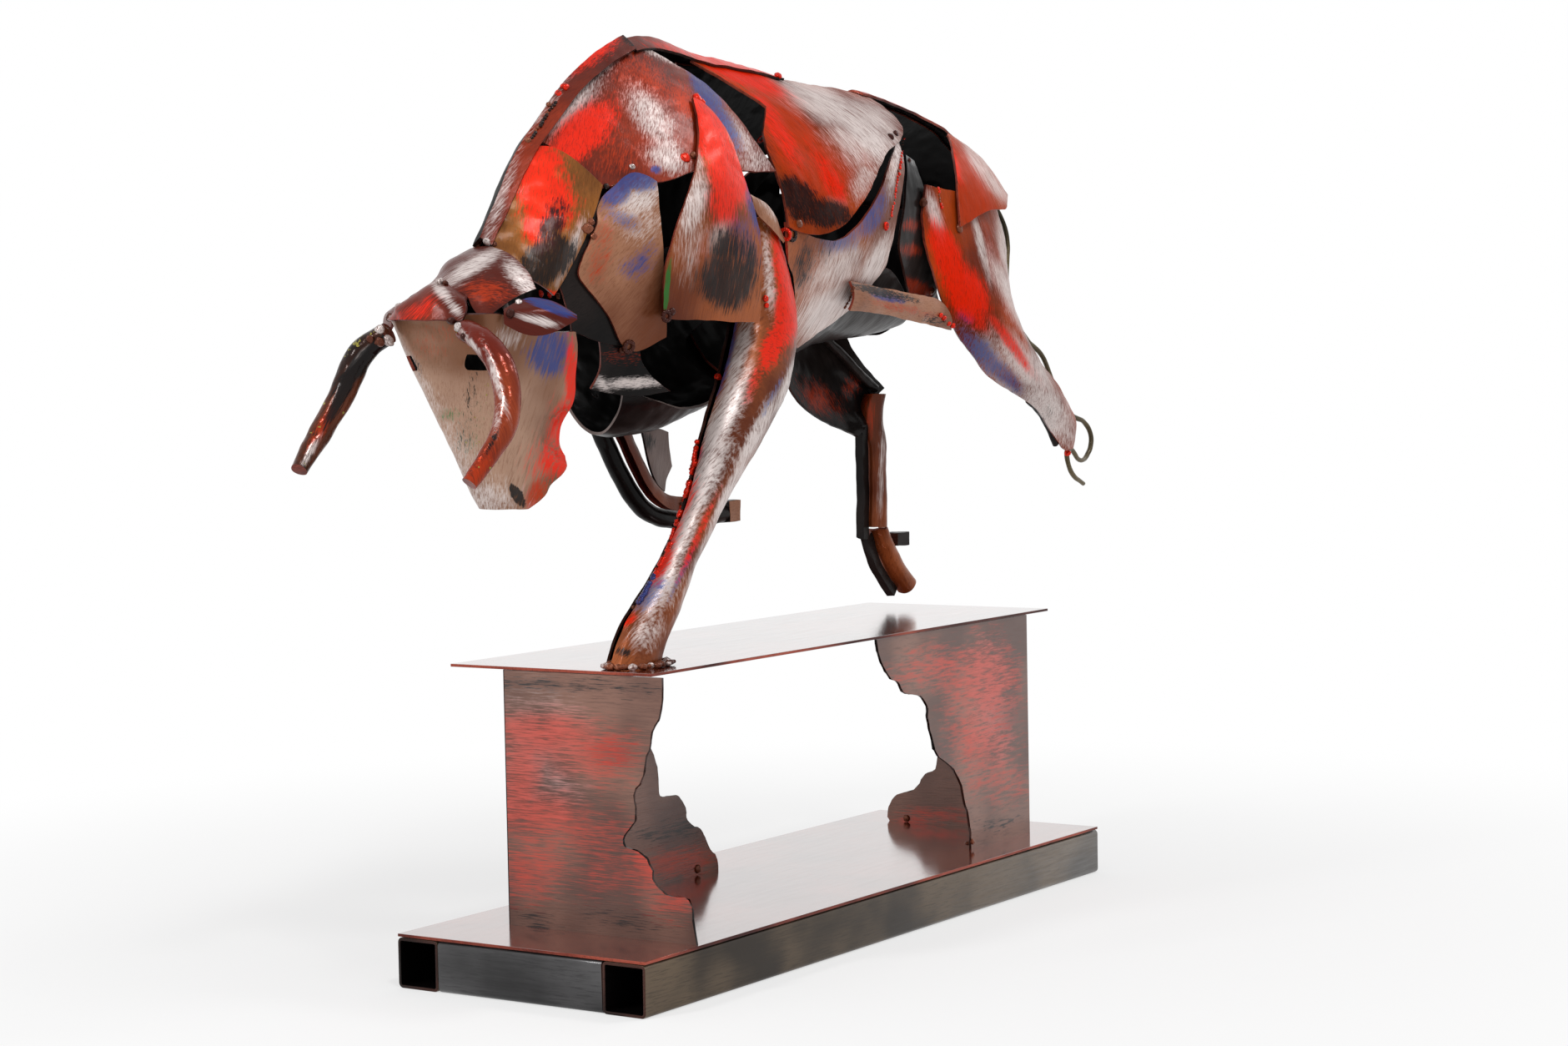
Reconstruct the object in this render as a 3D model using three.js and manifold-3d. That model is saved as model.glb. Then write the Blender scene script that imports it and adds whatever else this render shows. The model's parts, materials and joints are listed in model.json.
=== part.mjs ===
// A charging bull of welded sheet steel, on a pedestal with torn edges and a square-tube base.
// Millimetres, +Z up. The bull faces -X and its left side is towards -Y.
import * as THREE from "three";
import { mergeVertices } from "three/addons/utils/BufferGeometryUtils.js";
import Module from "manifold-3d";

const wasm = await Module();
wasm.setup();

// Clearance between pieces that touch, and the steel stock
const GAP = 0.3;
const SKIN = 1.5; // sheet of the bull
const SHEET = 1.5; // sheet of the deck and the pedestal
const TUBE = 25; // square tube of the base
const TUBE_WALL = 1.6;
const TUBE_CORNER = 2.4;

// Base and pedestal
const BASE_LENGTH = 450;
const BASE_WIDTH = 150;
const PILLAR_HEIGHT = 126.5;
const PEDESTAL_LENGTH = 395;
const PEDESTAL_WIDTH = 124;
const PEDESTAL_X = 16.5; // centre of the pedestal plate, along the base
const PEDESTAL_Y = 12; // and across it, which is also the bull's median plane
const FRONT_CORNER_INSET = 2; // from the pedestal plate's edges to the front pillar's corner
const FRONT_CORNER_SIDE = 32;
const REAR_CORNER_INSET = 24;
const REAR_CORNER_SIDE = 1;

// Bars of the bull
const HORN_RADII = [5.4, 6.2, 6.4, 6, 5, 4];
const TAIL_RADIUS = 1.6;
const ROD_RADIUS = 2.8;
const HOCK_RADIUS = 2;
const SHANK_RADIUS = 6.5;
const HOOF_BEAD = 1.8;

// Heights that follow from the above
const DECK_TOP = TUBE + GAP + SHEET;
const PILLAR_FOOT = DECK_TOP + GAP;
const STAND = PILLAR_FOOT + PILLAR_HEIGHT + GAP + SHEET; // top of the pedestal plate
const LEVEL = SKIN + GAP; // one plate lapped over another

// Colours of the brushed paint
const BROWN = 0x7a4530;
const RED = 0xb03024;
const ORANGE = 0xa8502c;
const BLUE = 0x5a6488;
const DARK = 0x2c2a2a;
const OLIVE = 0x4b4038;

const part = new THREE.Group();
const bull = new THREE.Group();
bull.position.set(0, PEDESTAL_Y, STAND);
part.add(bull);

// Adds one named piece
function piece(group, name, geometry, color) {
  const material = new THREE.MeshStandardMaterial({ color, roughness: 0.35, metalness: 0.6 });
  const mesh = new THREE.Mesh(geometry, material);
  mesh.name = name;
  group.add(mesh);
  return mesh;
}

// Turns points and triangles into a geometry whose faces point outwards
function closed(points, faces) {
  let volume = 0;
  for (const [a, b, c] of faces) {
    volume += points[a].dot(new THREE.Vector3().crossVectors(points[b], points[c]));
  }
  const index = faces.flatMap(([a, b, c]) => (volume < 0 ? [a, c, b] : [a, b, c]));
  const geometry = new THREE.BufferGeometry();
  const flat = points.flatMap((p) => [p.x, p.y, p.z]);
  geometry.setAttribute("position", new THREE.Float32BufferAttribute(flat, 3));
  geometry.setIndex(index);
  geometry.computeVertexNormals();
  return geometry;
}

// The same piece on the other side of the median plane
function mirrored(geometry) {
  const copy = geometry.clone().scale(1, -1, 1);
  const index = Array.from(copy.index.array);
  for (let i = 0; i < index.length; i += 3) {
    [index[i + 1], index[i + 2]] = [index[i + 2], index[i + 1]];
  }
  copy.setIndex(index);
  return copy;
}

// A sheet between two surfaces of (u, v), closed along its four edges
function shell(outer, inner, across, along) {
  const row = across + 1;
  const count = row * (along + 1);
  const points = [];
  for (const surface of [outer, inner]) {
    for (let j = 0; j <= along; j += 1) {
      for (let i = 0; i <= across; i += 1) {
        points.push(surface(i / across, j / along));
      }
    }
  }
  const faces = [];
  const quad = (a, b, c, d) => faces.push([a, b, c], [a, c, d]);
  for (let j = 0; j < along; j += 1) {
    for (let i = 0; i < across; i += 1) {
      const a = j * row + i;
      quad(a, a + 1, a + row + 1, a + row);
      quad(count + a, count + a + row, count + a + row + 1, count + a + 1);
    }
  }
  for (let i = 0; i < across; i += 1) {
    const far = along * row + i;
    quad(i, count + i, count + i + 1, i + 1);
    quad(far, far + 1, count + far + 1, count + far);
  }
  for (let j = 0; j < along; j += 1) {
    const near = j * row;
    const end = near + across;
    quad(near, near + row, count + near + row, count + near);
    quad(end, count + end, count + end + row, end + row);
  }
  return closed(points, faces);
}

// The unit normal of a surface, on the side of the hint
function normalOf(surface, u, v, hint) {
  const step = 0.01; // of the sheet's width and length
  const u0 = Math.max(u - step, 0);
  const u1 = Math.min(u + step, 1);
  const v0 = Math.max(v - step, 0);
  const v1 = Math.min(v + step, 1);
  const du = surface(u1, v).sub(surface(u0, v));
  const dv = surface(u, v1).sub(surface(u, v0));
  const normal = du.cross(dv).normalize();
  return normal.dot(hint(u, v)) < 0 ? normal.negate() : normal;
}

// A sheet of one thickness under a surface
function bentSheet(surface, hint, across, along, thickness = SKIN) {
  const inner = (u, v) => {
    return surface(u, v).addScaledVector(normalOf(surface, u, v, hint), -thickness);
  };
  return shell(surface, inner, across, along);
}

// A section carried along a path: a is forward or up, b is towards the bull's right
function sweep(path, section, steps) {
  const points = [];
  const faces = [];
  const sideways = new THREE.Vector3(0, 1, 0);
  let size = 0;
  for (let j = 0; j <= steps; j += 1) {
    const v = j / steps;
    const centre = path.getPointAt(v);
    const ahead = path.getTangentAt(v);
    const b = sideways.clone().addScaledVector(ahead, -ahead.dot(sideways)).normalize();
    const a = b.clone().cross(ahead);
    const outline = section(v);
    size = outline.length;
    for (const [p, q] of outline) {
      points.push(centre.clone().addScaledVector(a, p).addScaledVector(b, q));
    }
  }
  for (let j = 0; j < steps; j += 1) {
    for (let i = 0; i < size; i += 1) {
      const a = j * size + i;
      const b = j * size + ((i + 1) % size);
      faces.push([a, b, b + size], [a, b + size, a + size]);
    }
  }
  const cap = (outline) => {
    return THREE.ShapeUtils.triangulateShape(outline.map(([p, q]) => new THREE.Vector2(p, q)), []);
  };
  const last = steps * size;
  for (const [a, b, c] of cap(section(0))) {
    faces.push([b, a, c]);
  }
  for (const [a, b, c] of cap(section(1))) {
    faces.push([last + a, last + b, last + c]);
  }
  return closed(points, faces);
}

function curve(points) {
  return new THREE.CatmullRomCurve3(points.map((p) => new THREE.Vector3(...p)));
}

function ring(radius, sides) {
  const points = [];
  for (let i = 0; i < sides; i += 1) {
    const angle = (i / sides) * 2 * Math.PI;
    points.push([radius * Math.cos(angle), radius * Math.sin(angle)]);
  }
  return points;
}

// Sheet rolled round a path: an open ring whose slot is centred on an angle
function rolled(a, b, thickness, slotAt, slotWidth, sides) {
  const outline = [];
  const start = THREE.MathUtils.degToRad(slotAt + slotWidth / 2);
  const turn = THREE.MathUtils.degToRad(360 - slotWidth);
  for (let i = 0; i <= sides; i += 1) {
    const angle = start + (turn * i) / sides;
    outline.push([a * Math.cos(angle), b * Math.sin(angle)]);
  }
  for (let i = sides; i >= 0; i -= 1) {
    const angle = start + (turn * i) / sides;
    outline.push([(a - thickness) * Math.cos(angle), (b - thickness) * Math.sin(angle)]);
  }
  return outline;
}

// Value of a smooth curve through a list of numbers
function smooth(values, t) {
  const points = values.map((value, i) => new THREE.Vector2(i, value));
  return new THREE.SplineCurve(points).getPoint(t).y;
}

// Angle iron: two flanges that meet at the origin
function angleIron(depth, width, thickness) {
  return [
    [0, 0],
    [0, width],
    [-thickness, width],
    [-thickness, thickness],
    [-depth, thickness],
    [-depth, 0],
  ];
}

// Base of square tubes
function tubeSection() {
  const half = TUBE / 2;
  const shape = new THREE.Shape();
  roundedSquare(shape, half, TUBE_CORNER);
  const hole = new THREE.Path();
  roundedSquare(hole, half - TUBE_WALL, TUBE_CORNER - TUBE_WALL);
  shape.holes.push(hole);
  return shape;
}

function roundedSquare(path, half, corner) {
  const flat = half - corner;
  path.moveTo(-flat, -half);
  path.lineTo(flat, -half);
  path.absarc(flat, -flat, corner, -Math.PI / 2, 0, false);
  path.lineTo(half, flat);
  path.absarc(flat, flat, corner, 0, Math.PI / 2, false);
  path.lineTo(-flat, half);
  path.absarc(-flat, flat, corner, Math.PI / 2, Math.PI, false);
  path.lineTo(-half, -flat);
  path.absarc(-flat, -flat, corner, Math.PI, 1.5 * Math.PI, false);
}

function makeTube(name, length, x, y, alongY) {
  const options = { depth: length, bevelEnabled: false, curveSegments: 3 };
  const geometry = new THREE.ExtrudeGeometry(tubeSection(), options);
  geometry.translate(0, 0, -length / 2);
  geometry.rotateY(Math.PI / 2);
  if (alongY) {
    geometry.rotateZ(Math.PI / 2);
  }
  const tube = piece(part, name, geometry, OLIVE);
  tube.position.set(x, y, TUBE / 2);
}

function makeBase() {
  const railY = BASE_WIDTH / 2 - TUBE / 2;
  const crossX = BASE_LENGTH / 2 - TUBE / 2;
  const crossLength = BASE_WIDTH - 2 * TUBE - 2 * GAP;
  makeTube("base_rail_left", BASE_LENGTH, 0, -railY, false);
  makeTube("base_rail_right", BASE_LENGTH, 0, railY, false);
  makeTube("base_cross_front", crossLength, -crossX, 0, true);
  makeTube("base_cross_rear", crossLength, crossX, 0, true);
  const deck = piece(part, "base_deck", new THREE.BoxGeometry(BASE_LENGTH, BASE_WIDTH, SHEET), BROWN);
  deck.position.set(0, 0, DECK_TOP - SHEET / 2);
}

// Torn edges of the pillar plates: [distance from the corner, height above the foot as a
// share of the pillar], from the top down
const FRONT_FACE_EDGE = [
  [96, 1], [95, 0.84], [89, 0.81], [88, 0.73], [85, 0.69], [83, 0.59], [77, 0.57], [79, 0.47],
  [77, 0.43], [72, 0.4], [70, 0.36], [73, 0.34], [83, 0.33], [87, 0.28], [94, 0.21], [95, 0.17],
  [109, 0.17], [113, 0],
];
const FRONT_SIDE_EDGE = [
  [104, 1], [108, 0.86], [100, 0.74], [112, 0.66], [122, 0.57], [127, 0.46], [126, 0.37],
  [129, 0.36], [141, 0.365], [147, 0.34], [152, 0.28], [150, 0.25], [158, 0.205], [163, 0.2],
  [168, 0.16], [171, 0.1], [180, 0.05], [180, 0],
];
const REAR_SIDE_EDGE = [
  [165, 1], [164, 0.93], [152, 0.82], [143, 0.81], [138, 0.74], [124, 0.74], [112, 0.69],
  [114, 0.61], [108, 0.53], [107, 0.46], [90, 0.4], [77, 0.31], [75, 0.21], [68, 0.13], [68, 0],
];
const REAR_END_EDGE = [
  [90, 1], [88, 0.84], [70, 0.75], [66, 0.66], [57, 0.55], [59, 0.4], [60, 0.29], [61, 0.25],
  [71, 0.23], [74, 0.15], [86, 0.14], [94, 0.09], [96, 0.02], [94, 0],
];

// A pillar plate stands on its edge, with its square corner at the origin and its torn edge
// in the direction of turn
function makePillarPlate(name, edge, x, y, turn) {
  const shape = new THREE.Shape();
  shape.moveTo(0, 0);
  shape.lineTo(0, PILLAR_HEIGHT);
  for (const [across, height] of edge) {
    shape.lineTo(across, height * PILLAR_HEIGHT);
  }
  const geometry = new THREE.ExtrudeGeometry(shape, { depth: SHEET, bevelEnabled: false });
  geometry.rotateX(Math.PI / 2);
  geometry.rotateZ(turn);
  const plate = piece(part, name, geometry, RED);
  plate.position.set(x, y, PILLAR_FOOT);
}

function makePedestal() {
  const frontX = PEDESTAL_X - PEDESTAL_LENGTH / 2 + FRONT_CORNER_INSET;
  const frontY = PEDESTAL_Y + PEDESTAL_WIDTH / 2 - FRONT_CORNER_SIDE;
  const rearX = PEDESTAL_X + PEDESTAL_LENGTH / 2 - REAR_CORNER_INSET;
  const rearY = PEDESTAL_Y - PEDESTAL_WIDTH / 2 + REAR_CORNER_SIDE;
  makePillarPlate("front_pillar_face", FRONT_FACE_EDGE, frontX, frontY - SHEET - GAP, -Math.PI / 2);
  makePillarPlate("front_pillar_side", FRONT_SIDE_EDGE, frontX, frontY, 0);
  makePillarPlate("rear_pillar_side", REAR_SIDE_EDGE, rearX, rearY, Math.PI);
  makePillarPlate("rear_pillar_end", REAR_END_EDGE, rearX, rearY + SHEET + GAP, Math.PI / 2);
  const size = [PEDESTAL_LENGTH, PEDESTAL_WIDTH, SHEET];
  const plate = piece(part, "pedestal_plate", new THREE.BoxGeometry(...size), BROWN);
  plate.position.set(PEDESTAL_X, PEDESTAL_Y, STAND - SHEET / 2);
}

// Form of the trunk, in the bull's own frame: origin on the pedestal plate in the median plane.
// Each station gives its ridge and keel, its half width and how pointed its ridge is.
const STATIONS = [
  { x: -215, ridgeX: -224, ridgeZ: 204, keelX: -200, keelZ: 142, half: 23, roof: 1.0 },
  { x: -170, ridgeX: -182, ridgeZ: 261, keelX: -160, keelZ: 117, half: 38, roof: 1.0 },
  { x: -110, ridgeX: -110, ridgeZ: 309, keelX: -118, keelZ: 106, half: 53, roof: 0.9 },
  { x: -40, ridgeX: -40, ridgeZ: 306, keelX: -45, keelZ: 122, half: 59, roof: 0.7 },
  { x: 35, ridgeX: 34, ridgeZ: 301, keelX: 40, keelZ: 148, half: 57, roof: 0.5 },
  { x: 120, ridgeX: 119, ridgeZ: 297, keelX: 120, keelZ: 157, half: 49, roof: 0.4 },
  { x: 205, ridgeX: 207, ridgeZ: 279, keelX: 200, keelZ: 174, half: 38, roof: 0.3 },
  { x: 272, ridgeX: 274, ridgeZ: 237, keelX: 262, keelZ: 190, half: 16, roof: 0.3 },
];

// Smooth value of one column of the stations
function stationValue(key, x) {
  const last = STATIONS.length - 1;
  let i = 0;
  while (i < last - 1 && x > STATIONS[i + 1].x) {
    i += 1;
  }
  const slope = (k) => {
    const before = STATIONS[Math.max(k - 1, 0)];
    const after = STATIONS[Math.min(k + 1, last)];
    return (after[key] - before[key]) / (after.x - before.x);
  };
  const from = STATIONS[i];
  const to = STATIONS[i + 1];
  const span = to.x - from.x;
  const t = (x - from.x) / span;
  const s = 1 - t;
  return (
    from[key] * s * s * (1 + 2 * t) +
    to[key] * t * t * (1 + 2 * s) +
    span * t * s * (slope(i) * s - slope(i + 1) * t)
  );
}

// Point of the form at a station and a girth angle: 0 ridge, 90 left side, 180 keel, 270 right
function formPoint(x, girth) {
  const angle = THREE.MathUtils.degToRad(girth);
  const cosine = Math.cos(angle);
  const fold = Math.abs(Math.atan2(Math.sin(angle), cosine)) / Math.PI;
  const pointed = (stationValue("roof", x) * (cosine + 1)) / 2;
  const down = ((1 - cosine) / 2) * (1 - pointed) + fold * pointed;
  const ridgeX = stationValue("ridgeX", x);
  const ridgeZ = stationValue("ridgeZ", x);
  return new THREE.Vector3(
    ridgeX + (stationValue("keelX", x) - ridgeX) * down,
    -stationValue("half", x) * Math.sin(angle),
    ridgeZ + (stationValue("keelZ", x) - ridgeZ) * down,
  );
}

// The same, lifted off the form
function lifted(x, girth, lift) {
  const du = formPoint(x + 2, girth).sub(formPoint(x - 2, girth));
  const dv = formPoint(x, girth + 2).sub(formPoint(x, girth - 2));
  const normal = dv.cross(du).normalize();
  return formPoint(x, girth).addScaledVector(normal, lift);
}

// Blend of four edges, each a smooth curve through [station, girth] points
function patch({ top, bottom, front = [], rear = [] }) {
  const spline = (points) => {
    return new THREE.SplineCurve(points.map(([x, girth]) => new THREE.Vector2(x, girth)));
  };
  const topLine = spline(top);
  const bottomLine = spline(bottom);
  const frontLine = spline([top[0], ...front, bottom[0]]);
  const rearLine = spline([top.at(-1), ...rear, bottom.at(-1)]);
  return (u, v) => {
    const across = topLine.getPoint(u).multiplyScalar(1 - v);
    across.addScaledVector(bottomLine.getPoint(u), v);
    const down = frontLine.getPoint(v).multiplyScalar(1 - u);
    down.addScaledVector(rearLine.getPoint(v), u);
    const corners = topLine.getPoint(0).multiplyScalar((1 - u) * (1 - v));
    corners.addScaledVector(topLine.getPoint(1), u * (1 - v));
    corners.addScaledVector(bottomLine.getPoint(0), (1 - u) * v);
    corners.addScaledVector(bottomLine.getPoint(1), u * v);
    return across.add(down).sub(corners);
  };
}

// A beaten plate on the form, lapped at its level, with its middle raised by the crown and its
// lower edge standing off by the flare
function plateGeometry({ level, crown = 0, flare = 0, cells = [8, 8], ...outline }) {
  const chart = patch(outline);
  const face = (depth) => (u, v) => {
    const at = chart(u, v);
    const raise = crown * Math.sin(Math.PI * u) * Math.sin(Math.PI * v) + flare * v * v;
    return lifted(at.x, at.y, level * LEVEL + raise - depth);
  };
  return shell(face(0), face(SKIN), ...cells);
}

// Plates of the left side, mirrored on the right
const SIDE_PLATES = {
  flank_plate: {
    color: BLUE, level: -1, cells: [9, 7],
    top: [[-46, 86], [-12, 97], [15, 96], [41, 84], [66, 67], [97, 46]],
    rear: [[87, 66], [69, 86]],
    bottom: [[-6, 142], [30, 134], [58, 114]],
    front: [[-42, 100], [-30, 122]],
  },
  rib_plate: {
    color: ORANGE, level: 0, cells: [10, 8],
    top: [[-57, 5], [-16, 1], [30, 0.6], [87, 0.6], [116, 3]],
    rear: [[116, 22], [110, 40]],
    bottom: [[-46, 88], [-18, 94], [10, 90], [35, 78], [62, 61], [92, 51]],
    front: [[-27, 29], [-38, 41], [-50, 51], [-49, 70]],
  },
  hump_plate: {
    color: RED, level: 0, cells: [9, 7],
    top: [[-171, 1], [-143, 1], [-104, 1]],
    rear: [[-84, 10], [-65, 24], [-58.5, 48]],
    bottom: [[-161, 45], [-134, 61], [-112, 63], [-76, 66], [-50.5, 66]],
    front: [[-167, 18]],
  },
  neck_plate: {
    color: RED, level: 1, cells: [7, 8],
    top: [[-176, 3], [-167, 16], [-161, 45]],
    rear: [[-175, 58], [-191, 70]],
    bottom: [[-213, 7], [-214, 46], [-205, 83]],
    front: [[-196, 4]],
  },
  mid_neck_plate: {
    color: BROWN, level: 1, cells: [7, 9],
    top: [[-165, 56], [-154, 49], [-144, 50], [-136, 60]],
    rear: [[-139, 74], [-141, 94]],
    bottom: [[-167, 118], [-155, 122], [-135, 118]],
    front: [[-174, 62], [-188, 74], [-188, 86]],
  },
  throat_plate: {
    color: DARK, level: -0.1, cells: [5, 5],
    top: [[-200, 73], [-184, 60], [-165, 50]],
    rear: [[-158, 72], [-160, 94], [-160, 108]],
    bottom: [[-196, 112], [-180, 118], [-160, 120]],
    front: [[-199, 88], [-198, 100]],
  },
  shoulder_fin: {
    color: BROWN, level: 1, crown: 1.5, flare: 7, cells: [6, 9],
    top: [[-92, 33], [-89, 34], [-86, 36]],
    rear: [[-81, 49], [-82, 70], [-76, 90]],
    bottom: [[-145, 110], [-112, 114], [-73, 117]],
    front: [[-100, 46], [-113, 62], [-127, 76], [-143, 90]],
  },
  hip_strip: {
    color: DARK, level: -0.8, cells: [4, 8],
    top: [[94.5, 58], [103, 61]],
    rear: [[106, 82], [114, 106], [135, 126]],
    bottom: [[115, 137], [151, 138]],
    front: [[70, 98], [79, 114]],
  },
  rump_plate: {
    color: ORANGE, level: 0, flare: 7, cells: [7, 7],
    top: [[206, 4], [240, 5], [268, 9]],
    rear: [[261, 24], [248, 40], [230, 58]],
    bottom: [[133, 95], [153, 91], [176, 86], [203, 83]],
    front: [[188, 20], [165, 40], [141, 70]],
  },
};

// Strips and bands that cross the median plane
const MIDDLE_PLATES = {
  crest_strip: {
    color: RED, level: 2.1, cells: [12, 4],
    top: [[-213, -9], [-180, -7], [-140, -6], [-108, -6]],
    bottom: [[-213, 9], [-180, 7], [-140, 6], [-108, 6]],
  },
  dorsal_strip: {
    color: BROWN, level: 1, cells: [10, 4],
    top: [[-106, -6], [-40, -6], [30, -5]],
    bottom: [[-106, 6], [-40, 6], [30, 5]],
  },
  loin_strip: {
    color: RED, level: 1, cells: [10, 4],
    top: [[108, -8], [150, -6], [222, -9]],
    bottom: [[108, 8], [150, 6], [222, 9]],
  },
  brisket_plate: {
    color: DARK, level: -1, cells: [6, 5],
    top: [[-179, 115], [-164, 119], [-149, 117]],
    rear: [[-144, 128]],
    bottom: [[-177, 143], [-148, 141], [-113, 139]],
    front: [[-174, 129]],
  },
  chest_band: {
    color: DARK, level: -2.3, cells: [14, 6],
    top: [[-152, 139], [-144, 156], [-137, 180], [-130, 204], [-134, 232], [-139, 250]],
    bottom: [[-46, 162], [-24, 171], [-16, 182], [-15, 200], [-22, 222], [-92, 248]],
    front: [[-113, 145], [-80, 155]],
  },
  belly_band: {
    color: DARK, level: -2.6, cells: [8, 7],
    top: [[-4, 136], [30, 128], [54, 113], [96, 126], [132, 146]],
    bottom: [[-4, 224], [30, 232], [54, 247], [96, 234], [132, 214]],
    front: [[-6, 158], [-8, 180], [-6, 202]],
    rear: [[138, 160], [140, 180], [138, 200]],
  },
};

// On the right the flank plate reaches forward, over the top of the bent foreleg, and the rump
// plate closes the opening behind the ribs
const RIGHT_SIDE = {
  rump_plate: {
    cells: [10, 7],
    top: [[122, 3], [160, 3], [206, 4], [268, 9]],
    front: [[122, 20], [120, 42], [127, 70]],
  },
  flank_plate: {
    bottom: [[-74, 150], [-36, 160], [0, 166], [28, 156], [58, 114]],
    front: [[-70, 104], [-82, 128]],
  },
};

function makeTrunk() {
  for (const [name, plate] of Object.entries(SIDE_PLATES)) {
    let left = plateGeometry(plate);
    if (name === "flank_plate") {
      left = fromSolid(solid(left).subtract(solid(forelegSweep(GAP, 0))));
    }
    piece(bull, name + "_left", left, plate.color);
    const right = plateGeometry({ ...plate, ...RIGHT_SIDE[name] });
    piece(bull, name + "_right", mirrored(right), plate.color);
  }
  for (const [name, plate] of Object.entries(MIDDLE_PLATES)) {
    piece(bull, name, plateGeometry(plate), plate.color);
  }
}

// Head: one sheet bent to a U, from the brow down to the muzzle
const BROW_Z = 172;
const MUZZLE_Z = 80;
const FACE_X = [-267, -222];
const FACE_HALF = [16, 5]; // flat of the face
const CHEEK_HALF = [33, 12];
const CORNER_DEPTH = [18, 8]; // of the bend between face and cheek
const THROAT_X = [-197, -193, -189, -188, -190, -185, -195, -210];
const FACE_SHARE = 0.2; // of the sheet's half width that is flat face
const BEND_SHARE = 0.35; // and that bends to the cheek
const HEAD_MIDDLE_X = -215;
const CHEEK_DIP = 9; // of the left cheek's top edge, under the poll cap
const CHEEK_DIP_SPAN = [0.55, 0.75]; // of the sheet's half width

// Angle from the face towards the cheek
function headBend(u) {
  const share = (Math.abs(2 * u - 1) - FACE_SHARE) / BEND_SHARE;
  return THREE.MathUtils.clamp(share, 0, 1) * (Math.PI / 2);
}

function headPoint(u, v) {
  const side = Math.sign(2 * u - 1);
  const s = Math.abs(2 * u - 1);
  const mix = (pair) => THREE.MathUtils.lerp(pair[0], pair[1], v);
  const dip = side < 0 ? CHEEK_DIP * THREE.MathUtils.smoothstep(s, ...CHEEK_DIP_SPAN) : 0;
  const z = mix([BROW_Z - dip, MUZZLE_Z]);
  const faceX = mix(FACE_X);
  const flat = mix(FACE_HALF);
  const cheek = mix(CHEEK_HALF);
  const depth = mix(CORNER_DEPTH);
  if (s < FACE_SHARE) {
    return new THREE.Vector3(faceX, side * flat * (s / FACE_SHARE), z);
  }
  const bend = headBend(u);
  if (bend < Math.PI / 2) {
    const y = flat + (cheek - flat) * Math.sin(bend);
    return new THREE.Vector3(faceX + depth * (1 - Math.cos(bend)), side * y, z);
  }
  const bent = FACE_SHARE + BEND_SHARE;
  const back = (s - bent) / (1 - bent);
  const x = THREE.MathUtils.lerp(faceX + depth, smooth(THROAT_X, v), back);
  return new THREE.Vector3(x, side * cheek, z);
}

function solid(geometry) {
  const plain = geometry.clone();
  plain.deleteAttribute("normal");
  plain.deleteAttribute("uv");
  const merged = mergeVertices(plain, 1e-4);
  const vertProperties = new Float32Array(merged.attributes.position.array);
  const triVerts = new Uint32Array(merged.index.array);
  return new wasm.Manifold(new wasm.Mesh({ numProp: 3, vertProperties, triVerts }));
}

function fromSolid(made) {
  const mesh = made.getMesh();
  const geometry = new THREE.BufferGeometry();
  geometry.setAttribute("position", new THREE.BufferAttribute(mesh.vertProperties, 3));
  geometry.setIndex(Array.from(mesh.triVerts));
  geometry.computeVertexNormals();
  return geometry;
}

const EYE = { x: -256, y: 25, z: 150, width: 10, height: 7, depth: 24, turn: 0.9 };

function makeHead() {
  const middle = (u, v) => {
    const inside = new THREE.Vector3(HEAD_MIDDLE_X, 0, THREE.MathUtils.lerp(BROW_Z, MUZZLE_Z, v));
    return headPoint(u, v).sub(inside);
  };
  let head = solid(bentSheet(headPoint, middle, 18, 7));
  for (const side of [-1, 1]) {
    const hole = new THREE.BoxGeometry(EYE.depth, EYE.width, EYE.height);
    hole.rotateZ(-side * EYE.turn);
    hole.translate(EYE.x, side * EYE.y, EYE.z);
    head = head.subtract(solid(hole));
  }
  piece(bull, "head_shell", fromSolid(head), BROWN);
}

// Direction out of the head's sheet
function headOutward(u) {
  const bend = headBend(u);
  return new THREE.Vector3(-Math.cos(bend), Math.sign(2 * u - 1) * Math.sin(bend), 0);
}

const BROW = {
  across: [0.38, 0.69], // of the head's sheet, at the lower edge
  foot: [0.028, 0.012],
  stand: 5.1, // of the lower edge, out from the head
  topX: -252,
  topZ: 187,
  fall: 16, // of the top edge towards its ends
  narrow: 0.66,
  crown: 3.4,
};
const CAP = {
  arc: [-1.25, 0.85],
  half: [26, 31], // widths and drops at the front and the rear
  drop: [27, 32],
  x: [-259.5, -223],
  z: [188, 205],
  swept: 0.14, // of the front edge, back towards its ends
  crown: 2,
};

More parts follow.
